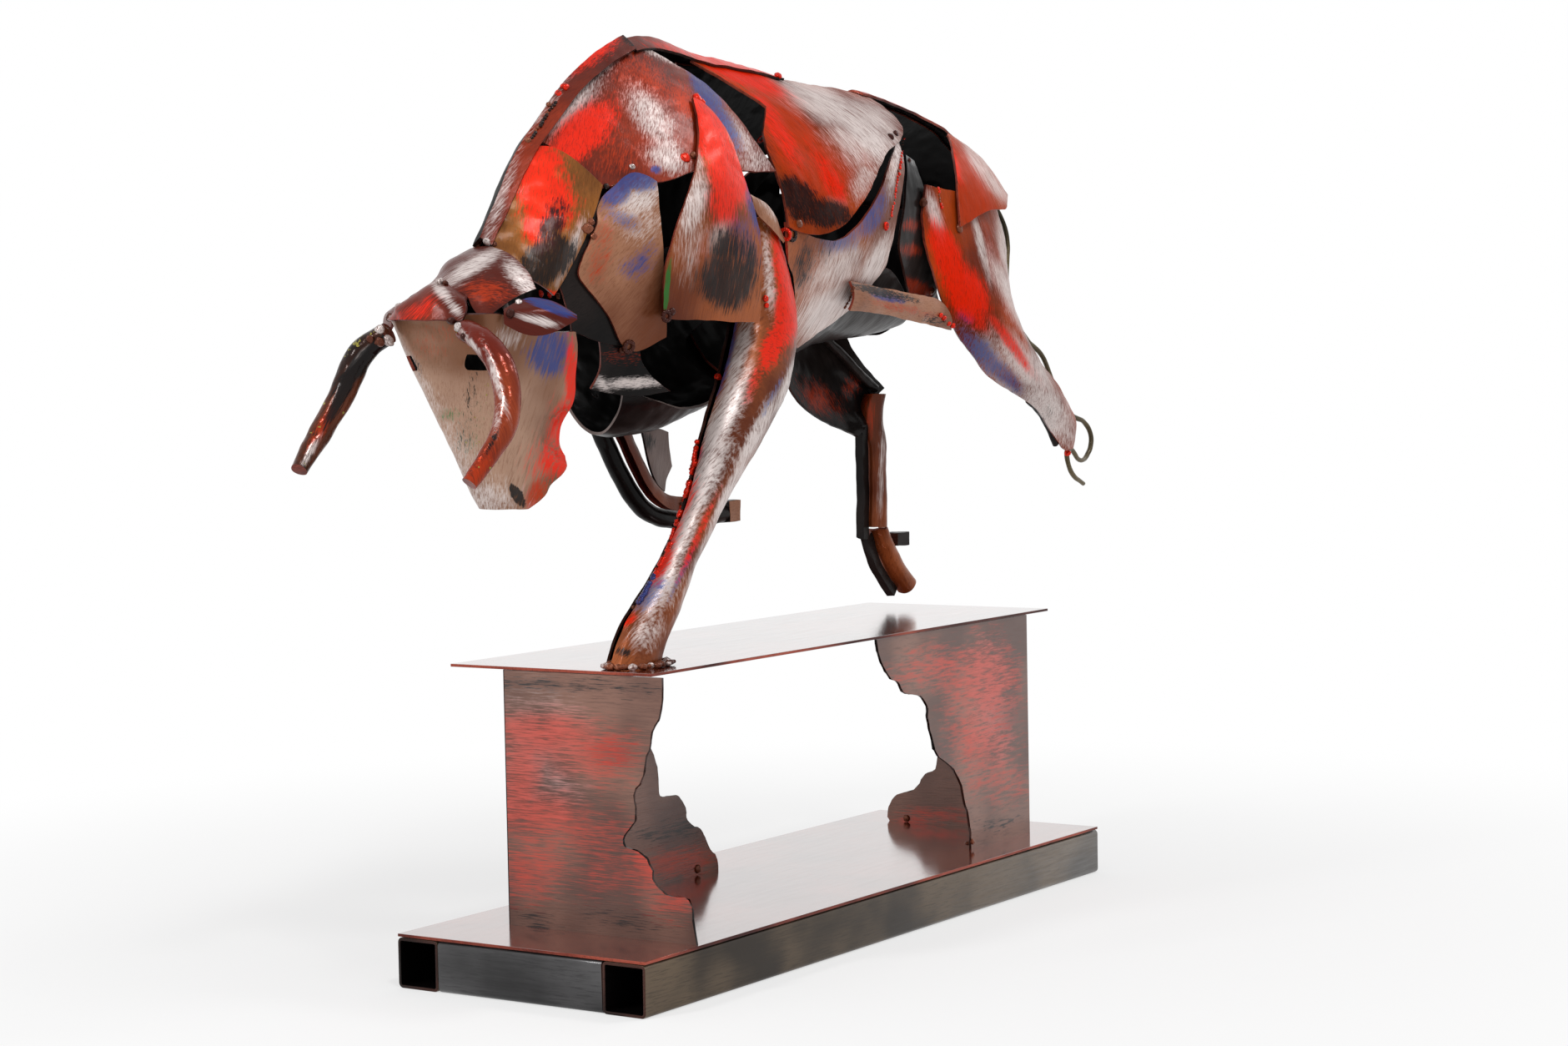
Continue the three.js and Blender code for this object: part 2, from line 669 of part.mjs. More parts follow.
// Band over the forehead, lapped on the head, and the cap over the poll
function makeBrow() {
  const upward = () => new THREE.Vector3(-1, 0, 1);
  const band = (u, v) => {
    const across = THREE.MathUtils.lerp(...BROW.across, u);
    const foot = THREE.MathUtils.lerp(...BROW.foot, u);
    const low = headPoint(across, foot).addScaledVector(headOutward(across), BROW.stand);
    const fall = BROW.fall * (low.y / CHEEK_HALF[0]) ** 2;
    const high = new THREE.Vector3(BROW.topX + 0.3 * fall, low.y * BROW.narrow, BROW.topZ - fall);
    return low.lerp(high, v).addScaledVector(upward(), BROW.crown * Math.sin(Math.PI * v));
  };
  piece(bull, "brow_band", bentSheet(band, upward, 12, 4), RED);
  const cap = (u, v) => {
    const angle = THREE.MathUtils.lerp(...CAP.arc, u);
    const half = THREE.MathUtils.lerp(...CAP.half, v);
    const y = (half * Math.sin(angle)) / Math.sin(-CAP.arc[0]);
    const swept = CAP.swept * Math.abs(y) * (1 - v);
    const drop = THREE.MathUtils.lerp(...CAP.drop, v);
    const raise = CAP.crown * Math.sin(Math.PI * v) - drop * (1 - Math.cos(angle));
    const x = THREE.MathUtils.lerp(...CAP.x, v) + swept;
    return new THREE.Vector3(x, y, THREE.MathUtils.lerp(...CAP.z, v) + raise);
  };
  piece(bull, "poll_cap", bentSheet(cap, () => new THREE.Vector3(0, 0, 1), 12, 5), RED);
}

function makeEars() {
  const root = new THREE.Vector3(-250, -33, 171);
  const along = new THREE.Vector3(23, -25, -1);
  const wide = new THREE.Vector3(-4, -3, -10);
  const fold = new THREE.Vector3(-3, -2, 4);
  const leaf = (u, v) => {
    const width = Math.sin(Math.PI * (0.12 + 0.84 * v)) * 0.9;
    const side = 2 * u - 1;
    const point = root.clone().addScaledVector(along, v).addScaledVector(wide, side * width);
    return point.addScaledVector(fold, (1 - Math.abs(side)) * width);
  };
  const geometry = bentSheet(leaf, () => fold, 6, 8);
  piece(bull, "ear_left", geometry, BLUE);
  piece(bull, "ear_right", mirrored(geometry), BLUE);
}

function makeHorns() {
  const section = (v) => ring(smooth(HORN_RADII, v), 12);
  const near = curve([
    [-266, -23.4, 164.8], [-269.3, -33, 162], [-271, -46, 151], [-274, -54, 134], [-282, -56, 118],
    [-291, -53, 105], [-298, -50, 96],
  ]);
  piece(bull, "horn_left", sweep(near, section, 14), BROWN);
  const far = curve([
    [-266.5, 23.5, 164.5], [-269, 33, 159], [-273, 41, 149], [-277.5, 46, 136], [-285, 48, 120],
    [-300, 46, 104.5],
  ]);
  piece(bull, "horn_right", sweep(far, section, 14), DARK);
}

// Long trough-shaped sheets between a front edge and a rear edge
function trough(front, rear, crowns, outward, across, along) {
  const frontLine = curve(front);
  const rearLine = curve(rear);
  const surface = (u, v) => {
    const point = frontLine.getPoint(v).lerp(rearLine.getPoint(v), u);
    return point.addScaledVector(outward, smooth(crowns, v) * Math.sin(Math.PI * u));
  };
  return bentSheet(surface, () => outward, across, along);
}

// Left foreleg: sheet rolled round the leg, its slot at the front
const FORELEG_PATH = [
  [-60, -41, 222], [-52, -42, 190], [-50, -42, 166], [-62, -45, 141], [-79, -45, 120], [-90, -44, 104],
  [-106, -43, 79], [-119, -41, 59], [-133, -39, 39], [-146, -37, 20], [-156, -36, -6],
];
const FORELEG_RADII = [11, 16, 17.5, 18.5, 16.5, 14, 9.8, 8.2, 9, 12, 12.5];

const FORELEG_DEPTH = 1.2; // share of the leg's half width
const FORELEG_STEPS = 15;
const FORELEG_SIDES = 28;
const SLOT = { at: 24, width: 28 }; // degrees, from the front towards the middle
const HOOF_SPREAD = [1.41, 1.1]; // of the bead, as the slanting leg meets the plate

// The leg's form, grown all round: solid, or a sheet with a slot
function forelegSweep(grown, slotWidth) {
  const section = (v) => {
    const radius = smooth(FORELEG_RADII, v) + grown;
    if (slotWidth > 0) {
      return rolled(radius * FORELEG_DEPTH, radius, SKIN, SLOT.at, slotWidth, 12);
    }
    return ring(1, FORELEG_SIDES).map(([a, b]) => [a * radius * FORELEG_DEPTH, b * radius]);
  };
  return sweep(curve(FORELEG_PATH), section, FORELEG_STEPS);
}

function makeForelegLeft() {
  const foot = FORELEG_PATH.at(-1);
  const depth = 40;
  const ground = new THREE.BoxGeometry(90, 90, depth).translate(foot[0], foot[1], GAP - depth / 2);
  const leg = solid(forelegSweep(0, SLOT.width)).subtract(solid(ground));
  piece(bull, "foreleg_left", fromSolid(leg), RED);
  const collarTop = [[-82, -58, 232], [-72, -58, 229], [-60, -57, 223], [-48, -55, 211]];
  const collarLow = [[-80, -58, 226], [-72, -58, 219], [-60, -57, 214], [-48, -55, 208]];
  const collar = trough(collarLow, collarTop, [1, 1, 1, 1], new THREE.Vector3(0, -1, 0), 3, 8);
  piece(bull, "shoulder_collar_left", collar, BROWN);
  const reach = FORELEG_RADII.at(-1) + HOOF_BEAD + 3 * GAP;
  const bead = new THREE.TorusGeometry(reach, HOOF_BEAD, 6, 20);
  bead.scale(HOOF_SPREAD[0], HOOF_SPREAD[1], 1);
  bead.translate(foot[0], foot[1], HOOF_BEAD + GAP);
  piece(bull, "hoof_weld", bead, BROWN);
}

// Edges of the left thigh and hind leg
const THIGH_FRONT = [
  [101, -51, 244], [96, -52, 217], [111, -52, 187], [135, -48, 164], [178, -42, 139],
  [216, -40, 126], [247, -38, 117], [271, -36, 101], [288, -35, 90],
];
const THIGH_REAR = [
  [221, -28, 236], [232, -28, 216], [231, -30, 187], [245, -32, 162], [269, -32, 142],
  [286, -32, 130], [298, -32, 120], [310, -32, 107], [303, -33, 92],
];
const THIGH_CROWNS = [5, 10, 13, 13, 9, 7, 6, 4, 2];
const THIGH_OUTWARD = new THREE.Vector3(0.3, -0.95, 0).normalize();

function makeHindLegLeft() {
  const leg = trough(THIGH_FRONT, THIGH_REAR, THIGH_CROWNS, THIGH_OUTWARD, 7, 15);
  piece(bull, "thigh_left", leg, RED);
  const strutTop = [[19, -52.2, 190], [56, -52.2, 186], [88, -52, 183], [116.2, -51.5, 180]];
  const strutLow = [[22, -50, 174], [56, -49, 172], [94, -48, 168], [133.4, -47.5, 163]];
  const strut = trough(strutLow, strutTop, [3, 3, 3, 3], new THREE.Vector3(0, -1, 0), 4, 8);
  piece(bull, "stifle_strut_left", strut, BROWN);
  const hock = curve([[243, -35, 121], [261, -34, 113], [272, -33, 104], [282, -32, 94]]);
  piece(bull, "hock_rod_left", sweep(hock, () => ring(HOCK_RADIUS, 7), 8), DARK);
}

// Right foreleg: bent tube and channel side by side, folded back at the knee
function makeForelegRight() {
  const tubePath = curve([
    [-97, 54.3, 167], [-92, 50.2, 149], [-87, 46, 134], [-79, 41.5, 112], [-65, 39, 88], [-48, 38, 70],
    [-30, 37, 64], [0, 37, 64], [24, 37, 65],
  ]);
  const channelPath = curve([
    [-82, 34, 127], [-77, 33, 119], [-66, 31.5, 100], [-54, 30, 82], [-40, 30, 73],
    [-20, 30.3, 71], [10, 30.3, 71],
  ]);
  piece(bull, "foreleg_right_tube", sweep(tubePath, () => ring(5, 8), 18), DARK);
  const channel = () => rolled(5.5, 3.4, SKIN, 0, 120, 5);
  piece(bull, "foreleg_right_channel", sweep(channelPath, channel, 11), BROWN);
  const hoof = piece(bull, "hoof_right_fore", new THREE.BoxGeometry(11, 10, 12), DARK);
  hoof.position.set(30, 37, 66);
  const plate = new THREE.Shape([
    [-58.6, 112], [-46, 114], [-36, 111], [-35, 102], [-32, 93], [-38, 86], [-40, 80], [-47.4, 84],
    [-53.6, 94],
  ].map(([x, z]) => new THREE.Vector2(x, z)));
  const elbow = new THREE.ExtrudeGeometry(plate, { depth: SKIN, bevelEnabled: false });
  piece(bull, "elbow_plate_right", elbow.rotateX(Math.PI / 2).translate(0, 31, 0), DARK);
}

// Right hind leg, bent under the belly
function makeHindLegRight() {
  const haunchFront = THIGH_FRONT.slice(0, 4);
  const haunchRear = THIGH_REAR.slice(0, 4);
  const haunch = trough(haunchFront, haunchRear, THIGH_CROWNS.slice(0, 4), THIGH_OUTWARD, 6, 6);
  piece(bull, "haunch_plate_right", mirrored(haunch), BROWN);
  const up = new THREE.Vector3(0, 1, 0);
  const front = [[70, 44, 186], [88, 43, 160], [96, 38, 128], [128, 36, 112], [158, 34, 102]];
  const rear = [[150, 44, 186], [152, 42, 172], [156, 36, 156], [174, 34, 140], [190, 34, 131]];
  piece(bull, "thigh_right", trough(front, rear, [4, 5, 5, 5, 4], up, 6, 9), BROWN);
  const rod = curve([[112, 33.4, 167], [134, 32.4, 156], [157, 31.4, 141], [177, 31, 130]]);
  piece(bull, "thigh_rod_right", sweep(rod, () => ring(ROD_RADIUS, 8), 8), BROWN);
  const halfTube = () => rolled(SHANK_RADIUS, SHANK_RADIUS, SKIN, 90, 120, 9);
  const shank = curve([[178, 31, 127], [176, 31, 90], [175, 31, 49]]);
  piece(bull, "shank_tube_right", sweep(shank, halfTube, 6), BROWN);
  const pastern = curve([[177, 31, 45.5], [192, 31, 26], [208, 31, 12]]);
  piece(bull, "pastern_right", sweep(pastern, halfTube, 5), BROWN);
  const angle = () => angleIron(6, 5, SKIN);
  const shankEdge = curve([[162.6, 32, 105], [162.4, 32, 80], [162.1, 32, 49]]);
  piece(bull, "shank_angle_right", sweep(shankEdge, angle, 6), DARK);
  const pasternEdge = curve([[166, 32, 38], [182, 32, 18], [196, 32, 6]]);
  piece(bull, "pastern_angle_right", sweep(pasternEdge, angle, 5), DARK);
  const dewclaw = piece(bull, "dewclaw_right", new THREE.BoxGeometry(13, 8, 8), BROWN);
  dewclaw.position.set(198.4, 31, 40.5);
}

// Wire tail: hangs behind the left thigh, curls at its hoof
function makeTail() {
  const path = curve([
    [260, -4, 239], [264, -8, 230], [265, -10, 217], [259, -12, 197], [261, -14, 175],
    [272, -17, 160], [282, -18, 153], [289, -19, 149], [295, -20, 140], [304, -22, 123],
    [320, -24, 110], [333, -25, 106], [340, -26, 96], [333, -27, 86], [322, -28, 83],
    [312, -29.5, 87], [304, -30, 92], [299, -30, 90], [302, -30, 82], [309, -29, 75], [325, -28, 68],
  ]);
  piece(bull, "tail_wire", sweep(path, () => ring(TAIL_RADIUS, 5), 48), BROWN);
}

makeBase();
makePedestal();
makeTrunk();
makeHead();
makeBrow();
makeEars();
makeHorns();
makeForelegLeft();
makeHindLegLeft();
makeForelegRight();
makeHindLegRight();
makeTail();

// The origin is below the middle of the whole object's box, on the table
const box = new THREE.Box3().setFromObject(part, true);
const middle = box.getCenter(new THREE.Vector3());
part.position.set(-middle.x, -middle.y, -box.min.z);

const object = new THREE.Group();
object.add(part);
export default object;
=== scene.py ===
"""A charging bull of welded, brush-painted sheet steel on a plate with torn-edged pillars.

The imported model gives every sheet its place. This script refines each sheet with bmesh
operators and modifiers, paints it with procedural lacquer, and adds the weld beads.
"""

from __future__ import annotations

import json
import logging
import math
from dataclasses import dataclass, field
from enum import Enum
from functools import partial

import bmesh
import bpy
import numpy as np
from mathutils import Matrix, Vector, noise
from mathutils.bvhtree import BVHTree

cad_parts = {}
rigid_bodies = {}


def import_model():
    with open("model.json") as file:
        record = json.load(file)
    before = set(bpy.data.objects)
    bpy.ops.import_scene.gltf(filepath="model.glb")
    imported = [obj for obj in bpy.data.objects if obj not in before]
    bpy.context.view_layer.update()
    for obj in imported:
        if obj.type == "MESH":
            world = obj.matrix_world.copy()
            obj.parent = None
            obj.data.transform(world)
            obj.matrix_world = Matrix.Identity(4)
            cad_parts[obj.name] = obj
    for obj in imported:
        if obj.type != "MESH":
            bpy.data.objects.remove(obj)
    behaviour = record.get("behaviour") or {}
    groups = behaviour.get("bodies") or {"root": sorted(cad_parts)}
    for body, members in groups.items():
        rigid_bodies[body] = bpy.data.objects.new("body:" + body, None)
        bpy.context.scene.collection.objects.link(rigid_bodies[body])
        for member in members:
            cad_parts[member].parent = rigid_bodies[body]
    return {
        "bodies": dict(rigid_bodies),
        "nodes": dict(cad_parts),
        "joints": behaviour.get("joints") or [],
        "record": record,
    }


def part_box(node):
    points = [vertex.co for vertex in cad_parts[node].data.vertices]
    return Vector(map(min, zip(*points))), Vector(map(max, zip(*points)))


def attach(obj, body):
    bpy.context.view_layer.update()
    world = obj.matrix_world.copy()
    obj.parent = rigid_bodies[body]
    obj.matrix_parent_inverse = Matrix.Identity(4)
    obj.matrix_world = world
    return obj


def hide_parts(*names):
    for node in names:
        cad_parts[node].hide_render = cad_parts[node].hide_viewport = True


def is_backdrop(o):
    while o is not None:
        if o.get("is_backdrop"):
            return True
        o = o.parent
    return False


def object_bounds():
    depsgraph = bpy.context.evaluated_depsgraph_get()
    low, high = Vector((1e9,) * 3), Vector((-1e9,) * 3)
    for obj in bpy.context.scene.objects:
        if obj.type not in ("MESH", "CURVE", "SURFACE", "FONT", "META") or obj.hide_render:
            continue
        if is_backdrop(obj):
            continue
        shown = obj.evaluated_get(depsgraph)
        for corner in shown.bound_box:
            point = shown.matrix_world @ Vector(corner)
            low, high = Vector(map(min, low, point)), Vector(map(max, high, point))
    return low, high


LOG = logging.getLogger("bull")
MM = 0.001
AXES = (Vector((1, 0, 0)), Vector((0, 1, 0)), Vector((0, 0, 1)))
PHOTO_SIZE = (1880, 1254)
MEDIAN_Y = 12 * MM  # of the bull, across the base
NOISE_SEED = 11  # noise vectors differ from run to run without one
FALL = 1.5  # how square a soft mark is: its weight falls with this power of the squared distance
FLAT = 0.9  # part of a face's normal along an axis, above which the face looks along that axis
LEANING = 0.7  # the same for a face that may lean by half a right angle
TINY = 1e-9  # keeps a length that is divided by above 0

Colour = tuple[float, float, float, float]
Socket = bpy.types.NodeSocket
Piece = bpy.types.Object
BMesh = bmesh.types.BMesh
Faces = list[bmesh.types.BMFace]
Points = list[bmesh.types.BMVert]


def srgb(red: int, green: int, blue: int) -> Colour:
    """Turns a colour into the linear values that shaders take.

    Args:
        red: 0 to 255.
        green: 0 to 255.
        blue: 0 to 255.

    Returns:
        Linear red, green and blue, and an alpha of 1.
    """

    def linear(value: int) -> float:
        """Linear value of one channel."""
        share = value / 255
        return share / 12.92 if share <= 0.04045 else ((share + 0.055) / 1.055) ** 2.4

    return (linear(red), linear(green), linear(blue), 1.0)


@dataclass(frozen=True)
class Brush:
    """How one tint lies over the base coat.

    Attributes:
        colour: of the tint.
        low: weight where the bristles first leave a mark.
        high: weight where they cover.
        cover: share of the base coat that they hide at most.
    """

    colour: Colour
    low: float = 0.26
    high: float = 0.74
    cover: float = 0.95


class Tint(Enum):
    """The brushed colours, in the order in which they lie over one another; the pale one is a painted
    highlight.
    """

    ORANGE = Brush(srgb(176, 50, 8), 0.1, 0.9)
    # Painted highlights: pale strokes laid into the colour where gleams fall, streaked like brushed silver
    PAINTED_HIGHLIGHT = Brush(srgb(226, 214, 210), 0.0, 1.15, 0.92)
    BLUE = Brush(srgb(34, 62, 128), 0.2, 0.9, 0.85)
    RED = Brush(srgb(230, 34, 2), 0.14, 0.88)
    GREEN = Brush(srgb(40, 104, 40))
    BLACK = Brush(srgb(12, 11, 12), 0.3, 0.66)
    CORAL = Brush(srgb(206, 62, 40), 0.05, 0.95, 0.85)

    @property
    def attribute(self) -> str:
        """Name of the mesh attribute that holds the tint's weight."""
        return "paint_" + self.name.lower()


@dataclass(frozen=True)
class Stroke:
    """A soft ellipse of one tint, placed in the photograph's pixels.

    Attributes:
        tint: colour of the stroke.
        x: centre, pixels from the left.
        y: centre, pixels from the top.
        long: half length in pixels.
        short: half width in pixels.
        angle: degrees from level, anticlockwise.
        strength: weight at the centre.
    """

    tint: Tint
    x: float
    y: float
    long: float
    short: float
    angle: float = 0.0
    strength: float = 1.0

    def weight(self, pixels: np.ndarray) -> np.ndarray:
        """Weight of the stroke at each pixel position.

        Args:
            pixels: N by 2 positions.

        Returns:
            N weights from 0 to the stroke's strength.
        """
        turn = math.radians(self.angle)
        right = pixels[:, 0] - self.x
        up = self.y - pixels[:, 1]
        along = (right * math.cos(turn) + up * math.sin(turn)) / self.long
        across = (up * math.cos(turn) - right * math.sin(turn)) / self.short
        return self.strength * np.exp(-0.5 * (along**2 + across**2) ** FALL)


@dataclass(frozen=True)
class Nudge:
    """A soft push on a sheet, in the photograph's pixels.

    Attributes:
        x: centre, pixels from the left.
        y: centre, pixels from the top.
        radius: in pixels.
        right: push to the right in pixels.
        up: push upwards in pixels.
        near: whether only the half that faces the camera moves.
    """

    x: float
    y: float
    radius: float
    right: float
    up: float
    near: bool = False

    def weight(self, pixels: np.ndarray) -> np.ndarray:
        """Share of the push that each pixel position gets."""
        far = (pixels[:, 0] - self.x) ** 2 + (pixels[:, 1] - self.y) ** 2
        return np.exp(-((far / self.radius**2) ** FALL))


@dataclass(frozen=True)
class PhotoCamera:
    """The photograph's viewpoint, solved from the edges of the base and the pedestal.

    Attributes:
        offset: place in millimetres from the middle of the base's underside.
        azimuth: degrees, 0 looks along +Y.
        elevation: degrees.
        roll: degrees.
        focal: in pixels of the photograph.
        sensor: width in millimetres.
        sight: metres that it sees.
    """

    offset: tuple[float, float, float] = (-1333.76, -893.19, 303.03)
    azimuth: float = -56.416
    elevation: float = 3.080
    roll: float = -1.1136
    focal: float = 3601.0
    sensor: float = 36.0
    sight: float = 20.0

    def place(self) -> Vector:
        """Place in the row's frame, in metres."""
        low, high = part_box("base_deck")
        return Vector(((low.x + high.x) / 2, (low.y + high.y) / 2, 0)) + Vector(self.offset) * MM

    def axes(self) -> tuple[Vector, Vector, Vector]:
        """The photograph's directions in space.

        Returns:
            To the right, up and forward.
        """
        turn = math.radians(self.azimuth)
        rise = math.radians(self.elevation)
        level = math.cos(rise)
        forward = -Vector((math.sin(turn) * level, -math.cos(turn) * level, math.sin(rise)))
        right = forward.cross(AXES[2]).normalized()
        up = right.cross(forward)
        tilt = math.radians(self.roll)
        return (
            right * math.cos(tilt) + up * math.sin(tilt),
            up * math.cos(tilt) - right * math.sin(tilt),
            forward,
        )

    def project(self, points: np.ndarray) -> np.ndarray:
        """Photograph's pixels of points.

        Args:
            points: N by 3 points in metres.

        Returns:
            N by 2 pixels.
        """
        right, up, forward = (np.array(axis) for axis in self.axes())
        offsets = points - np.array(self.place())
        depth = offsets @ forward
        across = PHOTO_SIZE[0] / 2 + self.focal * (offsets @ right) / depth
        down = PHOTO_SIZE[1] / 2 - self.focal * (offsets @ up) / depth
        return np.stack([across, down], axis=-1)

    def push(self, points: np.ndarray, node: str) -> np.ndarray:
        """Pushes a node's points across the photograph's lines of sight, as NUDGES says.

        Args:
            points: N by 3 points in metres.
            node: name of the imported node.

        Returns:
            The moved points.
        """
        right, up, forward = (np.array(axis) for axis in self.axes())
        pixels = self.project(points)
        scale = ((points - np.array(self.place())) @ forward / self.focal)[:, None]
        moved = points.copy()
        for nudge in NUDGES.get(node, ()):
            way = right * nudge.right + up * nudge.up
            share = nudge.weight(pixels)
            if nudge.near:
                share[points[:, 1] > MEDIAN_Y] = 0
            moved += share[:, None] * scale * way
        return moved

    def ray(self, x: float, y: float) -> Vector:
        """Direction from the camera through a pixel of the photograph.

        Args:
            x: pixels from the left.
            y: pixels from the top.

        Returns:
            The direction, of length 1.
        """
        right, up, forward = self.axes()
        across = (x - PHOTO_SIZE[0] / 2) / self.focal
        rise = (PHOTO_SIZE[1] / 2 - y) / self.focal
        return (forward + right * across + up * rise).normalized()

    def direction(self, angle: float) -> Vector:
        """Direction in space of an angle on the photograph, degrees anticlockwise from level."""
        right, up, _ = self.axes()
        return right * math.cos(math.radians(angle)) + up * math.sin(math.radians(angle))

    def make(self) -> None:
        """Adds the camera to the scene and makes it the active one."""
        data = bpy.data.cameras.new("photo_camera")
        data.sensor_width = self.sensor
        data.lens = self.focal * self.sensor / PHOTO_SIZE[0]
        data.clip_end = self.sight
        camera = bpy.data.objects.new("photo_camera", data)
        bpy.context.scene.collection.objects.link(camera)
        right, up, forward = self.axes()
        turned = Matrix((right, up, -forward)).transposed().to_4x4()
        camera.matrix_world = Matrix.Translation(self.place()) @ turned
        bpy.context.scene.camera = camera


CAMERA = PhotoCamera()


class Grain(Enum):
    """A noise: its scale along each axis, its octaves and their roughness.

    STREAK and HAIR lie along a piece's brush marks, in millimetres. The others are in metres.
    """

    STREAK = ((0.03, 0.75, 0.2), 6, 0.7)
    HAIR = ((0.09, 1.6, 0.5), 4, 0.65)
    DAB = ((48, 48, 48), 3, 0.6)
    WASH = ((17, 17, 17), 2, 0.5)
    LUMP = ((210, 210, 210), 2, 0.5)
    SPECK = ((420, 420, 420), 2, 0.5)
    PEEL = ((650, 650, 650), 2, 0.5)


class Bench:
    """Builds the node tree of a material or of the surroundings, a node at a time."""

    RANGE = slice(1, 5)  # inputs of a Map Range: from, from, to, to
    COLOURS = slice(6, 8)  # inputs of a Mix that are colours
    MIXED = 2  # output of a Mix that is a colour

    def __init__(self, owner: bpy.types.Material | bpy.types.World) -> None:
        """Empties the owner's node tree.

        Args:
            owner: material or surroundings that the tree belongs to.
        """
        owner.use_nodes = True
        self.owner = owner
        self.tree = owner.node_tree
        self.tree.nodes.clear()

    def fill(self, socket: Socket, value: Socket | object) -> None:
        """Links an input to a socket, or sets it to a value.

        Args:
            socket: the input.
            value: socket or value.
        """
        if isinstance(value, Socket):
            self.tree.links.new(value, socket)
        else:
            socket.default_value = value

    def node(
        self, kind: str, inputs: dict[str | int, object] | None = None, **settings: object
    ) -> bpy.types.Node:
        """Adds a node.

        Args:
            kind: the node's type without its first word, such as BsdfPrincipled.
            inputs: sockets and values of its inputs, by name or number.
            settings: values of its properties.

        Returns:
            The node.
        """
        made = self.tree.nodes.new("ShaderNode" + kind)
        for key, value in settings.items():
            setattr(made, key, value)
        for key, value in (inputs or {}).items():
            self.fill(made.inputs[key], value)
        return made

    def place(self) -> Socket:
        """Place on the object, in metres."""
        return self.node("TexCoord").outputs["Object"]

    def noise(self, vector: Socket, grain: Grain) -> Socket:
        """Noise on stretched coordinates.

        Args:
            vector: coordinates.
            grain: the noise.

        Returns:
            The noise's value.
        """
        stretch, detail, roughness = grain.value
        mapped = self.node("Mapping", {"Vector": vector, "Scale": stretch}).outputs["Vector"]
        inputs = {"Vector": mapped, "Scale": 1.0, "Detail": detail, "Roughness": roughness}
        return self.node("TexNoise", inputs).outputs["Fac"]

    def math(self, operation: str, *values: Socket | float) -> Socket:
        """A math node of sockets and numbers."""
        return self.node("Math", dict(enumerate(values)), operation=operation).outputs[0]

    def step(self, value: Socket, low: float, high: float, to: tuple[float, float] = (0, 1)) -> Socket:
        """Smooth step between two limits.

        Args:
            value: what is stepped.
            low: limit up to which the result is the first of `to`.
            high: limit from which it is the second.
            to: range of the result.

        Returns:
            The result.
        """
        made = self.node("MapRange", {"Value": value}, interpolation_type="SMOOTHSTEP")
        for socket, number in zip(made.inputs[self.RANGE], (low, high, *to)):
            socket.default_value = number
        return made.outputs["Result"]

    def mix(self, factor: Socket, first: Socket | Colour, second: Socket | Colour) -> Socket:
        """Mixes two colours.

        Args:
            factor: share of the second colour.
            first: colour.
            second: colour.

        Returns:
            The mixed colour.
        """
        made = self.node("Mix", {"Factor": factor}, data_type="RGBA")
        for socket, value in zip(made.inputs[self.COLOURS], (first, second)):
            self.fill(socket, value)
        return made.outputs[self.MIXED]

    def bump(self, heights: list[tuple[Socket, float]]) -> Socket:
        """Chains bumps.

        Args:
            heights: each bump's height and its depth in millimetres.

        Returns:
            The bumped normal.
        """
        normal = None
        for height, depth in heights:
            made = self.node("Bump", {"Height": height, "Strength": 1.0, "Distance": depth * MM})
            if normal is not None:
                self.fill(made.inputs["Normal"], normal)
            normal = made.outputs["Normal"]
        return normal

    def finish(self, shader: bpy.types.Node, kind: str = "OutputMaterial") -> None:
        """Joins the last shader to the tree's output."""
        self.node(kind, {"Surface": shader.outputs[0]})


